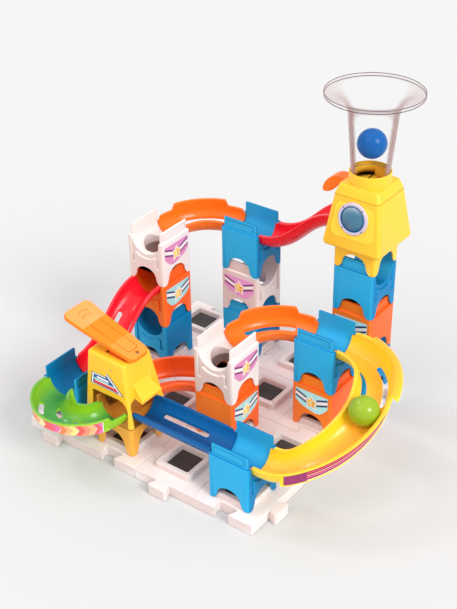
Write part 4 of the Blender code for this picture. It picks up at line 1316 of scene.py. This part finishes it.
def house_body():
    """A tapering house on block legs, with a bore down from its collar and a way out to -X."""
    corner, score = 0.0032, 0.0003
    sections = (
        (FLARE_LOW_HALF - 0.0012, FLARE_LOW),
        (FLARE_LOW_HALF - 0.0002, FLARE_LOW + 0.0022),
        (CREASE_HALF + score / 8, CREASE - score),
        (CREASE_HALF - score, CREASE),
        (CREASE_HALF - score / 3, CREASE + score),
        (ROOF_HALF + 0.0004, ROOF - 0.001),
        (ROOF_HALF - 0.0005, ROOF),
    )
    flare = loft("flare", [(rounded_square(half, corner), height) for half, height in sections])
    crown = [(COLLAR_RADIUS, COLLAR_TOP - 0.001), (COLLAR_RADIUS - 0.0003, COLLAR_TOP - 0.0003)]
    crown += [(COLLAR_RADIUS - 0.001, COLLAR_TOP), (0, COLLAR_TOP)]
    collar = turned("collar", [(0, CREASE), (COLLAR_RADIUS + 0.0002, CREASE), *crown])
    body = join(legs("house_form", FLARE_LOW + 0.004), flare, collar)
    exit_top = arc((0, 0.048), (CHANNEL_RADIUS, 0.01), 0, 180, 20)
    exit_outline = arc((0, CHANNEL_CENTRE), CHANNEL_RADIUS, 180, 360, 28) + exit_top
    notch_half, gate_half = CHANNEL_RADIUS + 0.0006, GATE_HALF + GAP
    notch_outline = box_outline(-notch_half, notch_half, FLARE_LOW - 0.002, CHANNEL_CENTRE)
    return cut(
        body,
        *hollow(ARCH_HEIGHT),
        bowl("bore", BORE_RADIUS, COLLAR_TOP + 0.001),
        cylinder("funnel_seat", FUNNEL_SEAT, FUNNEL_LOW - GAP, COLLAR_TOP + 0.001),
        prism("way_out", exit_outline, -2 * BLOCK, 0.0, "X"),
        prism("flare_notch", notch_outline, -BLOCK, -BLOCK / 2, "X"),
        prism("gate_slot", box_outline(-BLOCK, 0.0, -gate_half, gate_half), GATE_LOW - GAP, GATE_TOP + GAP),
    )


def house_panel():
    """The raised panel round the porthole, wider at its foot."""
    low, high, wide, narrow, radius = -0.0185, 0.0112, 0.0205, 0.0182, 0.0062
    upper, lower = high - radius, low + radius
    right, left = (narrow - radius, wide - radius), (-narrow + radius, -wide + radius)
    corners = ((right[0], upper), (left[0], upper), (left[1], lower), (right[1], lower))
    return placed(prism("house_panel_form", four_corners(corners, radius, 10), -0.0004, 0.0006), house_face())


def funnel_form():
    """A thin trumpet: a slightly tapering tube that flares to a wide level rim."""
    radii = (FUNNEL_RIM - FUNNEL_WAIST, FUNNEL_TOP - FUNNEL_WAIST_Z)
    flare = arc((FUNNEL_RIM, FUNNEL_WAIST_Z), radii, 180, 90, 18)
    widen, climb = FUNNEL_WAIST - FUNNEL_FOOT, FUNNEL_WAIST_Z - FUNNEL_LOW
    tube = [(FUNNEL_FOOT + widen * k / 8, FUNNEL_LOW + climb * k / 8) for k in range(8)]
    outer = tube + flare
    inner = []
    for k, (radius, height) in enumerate(outer):
        before, after = outer[max(k - 1, 0)], outer[min(k + 1, len(outer) - 1)]
        run, rise = after[0] - before[0], after[1] - before[1]
        size = math.hypot(run, rise)
        inner.append((radius - FUNNEL_WALL * rise / size, height + FUNNEL_WALL * run / size))
    inner[0] = (inner[0][0], FUNNEL_LOW)
    inner[-1] = (FUNNEL_RIM, FUNNEL_TOP + FUNNEL_WALL)
    outer[-1] = (FUNNEL_RIM - 0.001, FUNNEL_TOP)
    lip = [(FUNNEL_RIM - 0.001, FUNNEL_TOP - FUNNEL_LIP), (FUNNEL_RIM, FUNNEL_TOP - FUNNEL_LIP)]
    return turned("funnel_form", outer + lip + inner[::-1], steps=128)


def ring_wire(name, radius, height, thickness):
    """A thin ring round Z."""
    return smooth_mesh(turned(name, arc((radius, height), thickness, 0, 330, 11), 96))


def gate_form():
    """A round-ended plate across the bore, with a hooked handle out to -X."""
    outline = arc((0, 0), GATE_HALF, -90, 90, 32) + [(-0.0215, GATE_HALF), (-0.0215, -GATE_HALF)]
    plate = prism("gate_form", outline, GATE_LOW, GATE_TOP)
    hook = [(-0.0205, GATE_LOW), (-0.0205, GATE_TOP), (-0.024, 0.0752), (-0.0272, 0.0753), (-0.0304, 0.0748)]
    hook += [(-0.0335, 0.0734), (-0.0365, 0.0711), (-0.0392, 0.068), (-0.0411, 0.0645), (-0.042, 0.0612)]
    hook += [(-0.0418, 0.0592), (-0.0405, 0.0582), (-0.0383, 0.0584), (-0.0352, 0.0594), (-0.0322, 0.0612)]
    hook += [(-0.0294, 0.064), (-0.027, 0.0674), (-0.0245, 0.0704), (-0.0226, 0.0718)]
    return join(plate, prism("gate_handle", hook, -HANDLE_HALF, HANDLE_HALF, "Y"))


def make_funnel_house():
    seat = Matrix.Translation(HOUSE_FOOT)
    stand_in("funnel_house", moulded(house_body()), YELLOW, "yellow_plastic", place=seat)
    show("funnel_house_panel", moulded(house_panel(), 0.0004, 3), PANEL_YELLOW, "yellow_plastic", place=seat)

    clear = smooth_mesh(funnel_form(), 50)
    show("funnel_clear", clear, CLEAR, "clear_plastic", replaces=("funnel",), place=seat)
    edges = (
        ("top", FUNNEL_RIM - 0.0002, FUNNEL_TOP + FUNNEL_WALL, 0.00028),
        ("low", FUNNEL_RIM - 0.0004, FUNNEL_TOP - FUNNEL_LIP, 0.00032),
    )
    for where, *sizes in edges:
        show(f"funnel_rim_{where}", ring_wire(f"rim_{where}", *sizes), RIM_TINT, "clear_plastic", place=seat)
    stand_in("release_gate", moulded(gate_form(), 0.0003), GATE_ORANGE, "amber_plastic", "gate", seat)

    face = seat @ house_face()
    inner, fillet = LENS_RADIUS + GAP, 0.0011
    crown = arc((PORTHOLE_RADIUS - fillet, 0.0013), fillet, 0, 90, 6)
    profile = [(inner, GAP), (PORTHOLE_RADIUS, GAP), *crown, (inner + 0.0005, 0.0024), (inner, 0.002)]
    stand_in("porthole_ring", smooth_mesh(turned("ring_form", profile)), LILAC, "lilac_plastic", place=face)
    profile = [(0, -0.0004), (0.0007, -0.0004), (0.0007, 0.00005), (0.00045, 0.00025), (0, 0.0003)]
    # The screws are dark discs: painted shade in their recesses.
    for k, (x, y) in enumerate(arc((0, 0), 0.01265, 48, 318, 3)):
        screw = smooth_mesh(turned("screw_form", profile, 20))
        show(f"porthole_screw_{k + 1}", screw, HOLE_SHADE_DARK, "lilac_plastic", place=face @ shift(x, y, 0.0024))
    dome = arc((0, 0.001), (LENS_RADIUS, 0.003), 0, 84, 14)
    lens = smooth_mesh(turned("lens_form", [(0, GAP), (LENS_RADIUS, GAP), *dome, (0, 0.004)], 96))
    stand_in("porthole_lens", lens, TEAL, "teal_plastic", place=face)
    rim = ring_wire("lens_rim", LENS_RADIUS + 0.0001, 0.0021, 0.00045)
    show("porthole_lens_rim", rim, DEEP_BLUE, "teal_plastic", place=face)


# Launcher


def hood(name, inset, low, high, fillet=0.0):
    """The launcher's tapering hood, drawn in by inset, with its top edge rounded over by fillet."""

    def section(height, extra=0.0):
        share = (height - BODY_LOW) / (BODY_TOP - BODY_LOW)
        low_x, high_x, low_y, high_y = (a + (b - a) * share for a, b in zip(BODY_FOOT, BODY_CROWN))
        pull = inset + extra
        corner = max(0.0036 - inset * 0.8 - extra * 0.3, 0.0006)
        return rounded_box(low_x + pull, high_x - pull, low_y + pull, high_y - pull, corner)

    crown = arc((fillet, high - fillet), fillet, 180, 90, 6) if fillet else [(0.0, high)]
    shell = loft(name, [(section(height, extra), height) for extra, height in [(0.0, low), *crown]])
    for vertex in shell.data.vertices:
        if vertex.co.z > BODY_TOP / 2:
            vertex.co.z += ROOF_SLOPE * (BODY_CROWN[1] - vertex.co.x)
    return shell


def pin_hole(half, centre=(0, 0)):
    """A cutter for a pin along Y."""
    return cylinder("pin_hole", PIN_HOLE, -half, half, "Y", centre, 24)


def launcher_body():
    body = hood("launcher_form", 0.0, BODY_LOW, BODY_TOP, fillet=0.0024)
    cut(body, hood("hood_inside", BODY_WALL, BODY_LOW - 0.001, BODY_TOP - BODY_WALL))
    under = [(-0.013, 0.0545), (0.013, 0.0545), (0.012, 0.0575), (-0.012, 0.0575)]
    over = [(-0.0105, 0.056), (0.0105, 0.056), (0.009, 0.069), (-0.009, 0.069)]
    join(body, loft("awning", [(under, 0.028), (over, 0.014)], "X"))
    for middle, low, half in ((PIVOT_X, 0.0765, 0.0045), (KICKER_X, 0.069, 0.0032)):
        high = BODY_TOP - BODY_WALL / 2 + ROOF_SLOPE * (BODY_CROWN[1] - middle)
        for sign in (-1, 1):
            near, far = sorted((sign * 0.0092, sign * 0.0112))
            join(body, prism("pin_rib", box_outline(middle - half, middle + half, low, high), near, far, "Y"))
    left = arc((0.0063, 0.044), 0.01, 0, 90, 10) + arc((-0.0195, 0.051), 0.003, 90, 180, 6)
    left += [(-0.0225, 0.01), (0.0163, 0.01)]
    back = [(-0.0175, 0.01), (0.0182, 0.01), (0.0182, 0.03)]
    back += arc((0.0082, 0.046), 0.01, 0, 90, 8) + arc((-0.0135, 0.053), 0.004, 90, 180, 6)
    front = rounded_box(-0.0163, 0.0163, 0.01, 0.054, 0.005, 8)
    slit = rounded_box(-0.013, 0.0095, -0.0088, 0.0088, 0.001)
    return cut(
        body,
        prism("way_in", left, 2 * BODY_FOOT[2], -0.01, "Y"),
        prism("back_way_in", back, 0.01, 2 * BODY_FOOT[3], "Y"),
        prism("way_out", front, 0.008, 2 * BODY_FOOT[1], "X"),
        prism("paddle_slot", slit, BODY_TOP - 0.004, BODY_TOP + 0.004),
        pin_hole(0.014, (PIVOT_X, PIVOT_Z)),
        pin_hole(0.014, (KICKER_X, KICKER_Z)),
    )


def launcher_frame():
    """The launcher's foot: a low arched table with the marble's seat and a gap for the hammer."""
    frame = legs("frame_form", FRAME_TOP - GAP)
    seat_outline = rounded_box(*SEAT_HALF_X, -SEAT_HALF_Y, SEAT_HALF_Y, 0.0008)
    join(frame, prism("seat_form", seat_outline, FRAME_TOP - 0.002, SEAT_TOP))
    top, gap_half = SEAT_TOP + 0.001, KICKER_HALF + 2 * GAP
    hammer_gap = prism("hammer_gap", box_outline(-BLOCK, -0.009, -gap_half, gap_half), 0.0335, top)
    return cut(frame, *hollow(FRAME_ARCH), channel(top), channel(top, low=0.0, along="X"), hammer_gap)


def paddle_outline(inset):
    corner = 0.006 - inset * 0.5
    reach_corner = (-PADDLE_REACH + inset + corner, PADDLE_REACH_HALF - inset - corner)
    tail_corner = (PADDLE_TAIL - inset - corner, PADDLE_TAIL_HALF - inset - corner)
    upper = arc(reach_corner, corner, 180, 90, 8) + arc(tail_corner, corner, 90, 0, 8)
    return upper + [(x, -y) for x, y in upper[::-1]]


def paddle_top():
    """The lever's plate before it is tilted, with a scored frame, two arrows and a well for a screw."""
    edge = [(0.0014, -0.0046), (0.0005, -0.0042), (0.0, -0.0034), (0.0, -0.0012)]
    edge += arc((0.0012, -0.0012), 0.0012, 165, 90, 5)
    plate = loft("paddle_form", [(paddle_outline(inset), height) for inset, height in edge])
    hollow_form = prism("paddle_hollow", paddle_outline(0.002), -0.006, -0.0022)
    low, high = -0.0004, 0.001
    groove = prism("groove_outer", rounded_box(-0.0385, 0.0068, -0.006, 0.006, 0.0032), low, high)
    island = rounded_box(-0.044, 0.0063, -0.0055, 0.0055, 0.0028)
    cut(groove, prism("groove_inner", island, low - 0.001, high + 0.001))
    outline = [(0.0014, 0.0056), (0.0003, 0.0056), (-0.0022, 0)]
    outline += [(0.0003, -0.0056), (0.0014, -0.0056), (-0.0011, 0)]
    chevrons = [
        prism("chevron", [(middle + x, y) for x, y in outline], low, high) for middle in (-0.0505, -0.0455)
    ]
    screw_well = cylinder("screw_well", 0.0017, -0.0008, 0.001, centre=(SCREW_X, 0.0), steps=32)
    return cut(plate, hollow_form, groove, *chevrons, screw_well)


def bent(mesh, lines):
    """The mesh folded down or up along lines across X: each is a distance and the slope added beyond it."""
    bm = bmesh.new()
    bm.from_mesh(mesh)
    for distance, _ in lines:
        geometry = bm.verts[:] + bm.edges[:] + bm.faces[:]
        bmesh.ops.bisect_plane(bm, geom=geometry, plane_co=(distance, 0, 0), plane_no=(1, 0, 0), dist=1e-6)
    for vertex in bm.verts:
        vertex.co.z += sum(slope * min(vertex.co.x - distance, 0.0) for distance, slope in lines)
    folded = new_mesh(f"{mesh.name}_bent", bm)
    folded.shade_smooth()
    folded.set_sharp_from_angle(angle=math.radians(FOLD_ANGLE))
    return folded


def arrow_sticker(place):
    """A wedge-shaped arrow along the launcher's front."""
    edge = [(-0.0233, 0.0601), (0.013, 0.0593), (-0.005, 0.0756), (-0.0058, 0.0716), (-0.0219, 0.0714)]

    def drawn_in(share):
        middle = Vector((-0.0105, 0.0645))
        return [tuple(middle + (Vector(point) - middle) * share) for point in edge]

    layers = [
        (INK_NAVY, [drawn_in(1.0)]),
        (INK_WHITE, [drawn_in(0.92)]),
        (INK_BLUE, [drawn_in(0.8)]),
        (INK_RED, [[(-0.0196, 0.0617), (0.0078, 0.0612), (0.0046, 0.064), (-0.0193, 0.0642)]]),
        (INK_WHITE, [
            [(-0.018, 0.0642), (0.0032, 0.064), (0.0026, 0.0648), (-0.018, 0.065)],
            [(-0.016, 0.0672), (-0.003, 0.067), (-0.0036, 0.0686), (-0.016, 0.0688)],
        ]),
        (INK_SKY, [[(-0.0196, 0.0655), (-0.004, 0.0654), (-0.004, 0.0663), (-0.0196, 0.0665)]]),
    ]
    sticker("launcher_arrow", layers, place)


def spring_form():
    """A wire coil round the paddle's pin, beside its lug."""
    turns, per_turn, radius, wire, pitch = 3, 24, 0.0026, 0.0004, 0.001
    curve = bpy.data.curves.new("spring_wire", "CURVE")
    curve.dimensions = "3D"
    curve.bevel_depth = wire
    curve.bevel_resolution = 3
    curve.use_fill_caps = True
    spline = curve.splines.new("POLY")
    spline.points.add(turns * per_turn)
    for k, point in enumerate(spline.points):
        angle = 360 * k / per_turn
        point.co = (radius * cos(angle), 0.0056 + pitch * k / per_turn, radius * sin(angle), 1)
    return new_object("spring_wire", curve, WORKSHOP)


def make_launcher():
    seat = shift(0, 0, BASE_TOP)
    pivot = seat @ shift(PIVOT_X, 0, PIVOT_Z)
    hinge = seat @ shift(KICKER_X, 0, KICKER_Z)
    frame = moulded(launcher_frame())
    table = stand_in("launcher_frame", frame, WARM_YELLOW, "warm_yellow_plastic", place=seat @ shift(0, 0, GAP))
    # Faces above the frame's top, the seat inside the launcher, get the darker copy: painted shade.
    table.data.materials.append(SEAT_PAINTED_SHADE)
    for polygon in table.data.polygons:
        if polygon.center.z > FRAME_TOP - 0.0008:
            polygon.material_index = 1
    stand_in("launcher_body", moulded(launcher_body(), 0.0006, 3), YELLOW, "yellow_plastic", place=seat)

    low_y, middle = BODY_FOOT[2], 0.0675
    lean = math.atan2(BODY_CROWN[2] - low_y, BODY_TOP - BODY_LOW)
    face_y = low_y + (BODY_CROWN[2] - low_y) * (middle - BODY_LOW) / (BODY_TOP - BODY_LOW)
    face = seat @ shift(0, face_y, middle) @ Matrix.Rotation(-lean, 4, "X") @ shift(0, 0, -middle)
    arrow_sticker(face)
    # The pinhole is a dark disc on the face: painted shade where a hole would be.
    dot = moulded(cylinder("pinhole_form", 0.0006, -0.0002, 0.00008, "Y", (0, 0), 20), 0.0)
    show("launcher_pinhole", dot, HOLE_SHADE_DARK, place=face @ shift(-0.001, 0, 0.08))

    tilt = pivot @ shift(0, 0, PADDLE_RISE) @ Matrix.Rotation(PADDLE_TILT, 4, "Y")
    lever = bent(moulded(paddle_top(), 0.0003), PADDLE_BENDS)
    plate = stand_in("launch_paddle", lever, AMBER, "amber_plastic", "paddle", tilt, "plate")
    # The upward faces of the far pad and of the tail get the paler copies: painted glare and sheen.
    plate.data.materials.append(PAD_PAINTED_GLARE)
    plate.data.materials.append(TAIL_PAINTED_SHEEN)
    (tail_bend, _), (pad_bend, _) = PADDLE_BENDS
    for polygon in plate.data.polygons:
        if polygon.normal.z > 0.9 and polygon.center.x < pad_bend:
            polygon.material_index = 1
        elif polygon.normal.z > 0.9 and polygon.center.x > tail_bend:
            polygon.material_index = 2
    profile = [(0, -0.0016), (0.0015, -0.0016), (0.0015, -0.0006), (0.0011, -0.0002), (0, -0.0002)]
    screw = smooth_mesh(turned("paddle_screw", profile, 32))
    show("launch_paddle_screw", screw, BROWN, "steel", "paddle", (), tilt @ shift(SCREW_X, 0, 0))
    lug = prism("paddle_lug", rounded_box(-0.0045, 0.0045, -0.0035, 0.012, 0.002), -0.005, 0.005, "Y")
    join(lug, prism("paddle_web", rounded_box(-0.0135, 0.004, 0.003, 0.0135, 0.001), -0.008, 0.004, "Y"))
    cut(lug, pin_hole(0.006))
    show("launch_paddle_lug", moulded(lug), RED_ORANGE, "amber_plastic", "paddle", (), pivot)

    tip = -KICKER_LENGTH
    shank = rounded_box(-0.002, 0.002, tip, 0.0028, 0.0018)
    head = rounded_box(-0.0025, 0.0034, tip, tip + 0.012, 0.0015)
    arm = prism("kicker_form", shank, -KICKER_HALF, KICKER_HALF, "Y")
    join(arm, prism("kicker_head", head, -0.006, 0.006, "Y"))
    join(arm, cylinder("kicker_boss", 0.003, -0.008, 0.008, "Y", (0, 0), 32))
    cut(arm, pin_hole(0.01))
    stand_in("kicker", moulded(arm), BROWN, "brown_plastic", "hammer", hinge)

    pin = moulded(cylinder("pin_form", PIN_RADIUS, -0.011, 0.011, "Y", (0, 0), 32), 0.0002)
    stand_in("paddle_pin", pin, STEEL, "steel", place=pivot, ending="turned")
    stand_in("kicker_pin", pin, STEEL, "steel", place=hinge, ending="turned")
    stand_in("return_spring", smooth_mesh(spring_form(), 50), STEEL, "steel", place=pivot, ending="wound")


# Marbles


def make_marbles():
    for node, body, finish in (
        ("blue_marble", "dropped_marble", BLUE_BALL),
        ("green_marble", "rolling_marble", GREEN_BALL),
    ):
        low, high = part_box(node)
        bm = bmesh.new()
        bmesh.ops.create_icosphere(bm, subdivisions=5, radius=MARBLE_RADIUS)
        ball = smooth_mesh(workpiece(f"{node}_form", bm), 60)
        place = Matrix.Translation((Vector(low) + Vector(high)) / 2)
        stand_in(node, ball, finish, f"{node}_plastic", body, place, "polished")


make_camera()
make_stage()
make_base()
make_blocks()
make_plaques()
make_quarter_curves()
make_long_curve()
make_green_curve()
make_straight_tracks()
make_funnel_house()
make_launcher()
make_marbles()
empty_workshop()
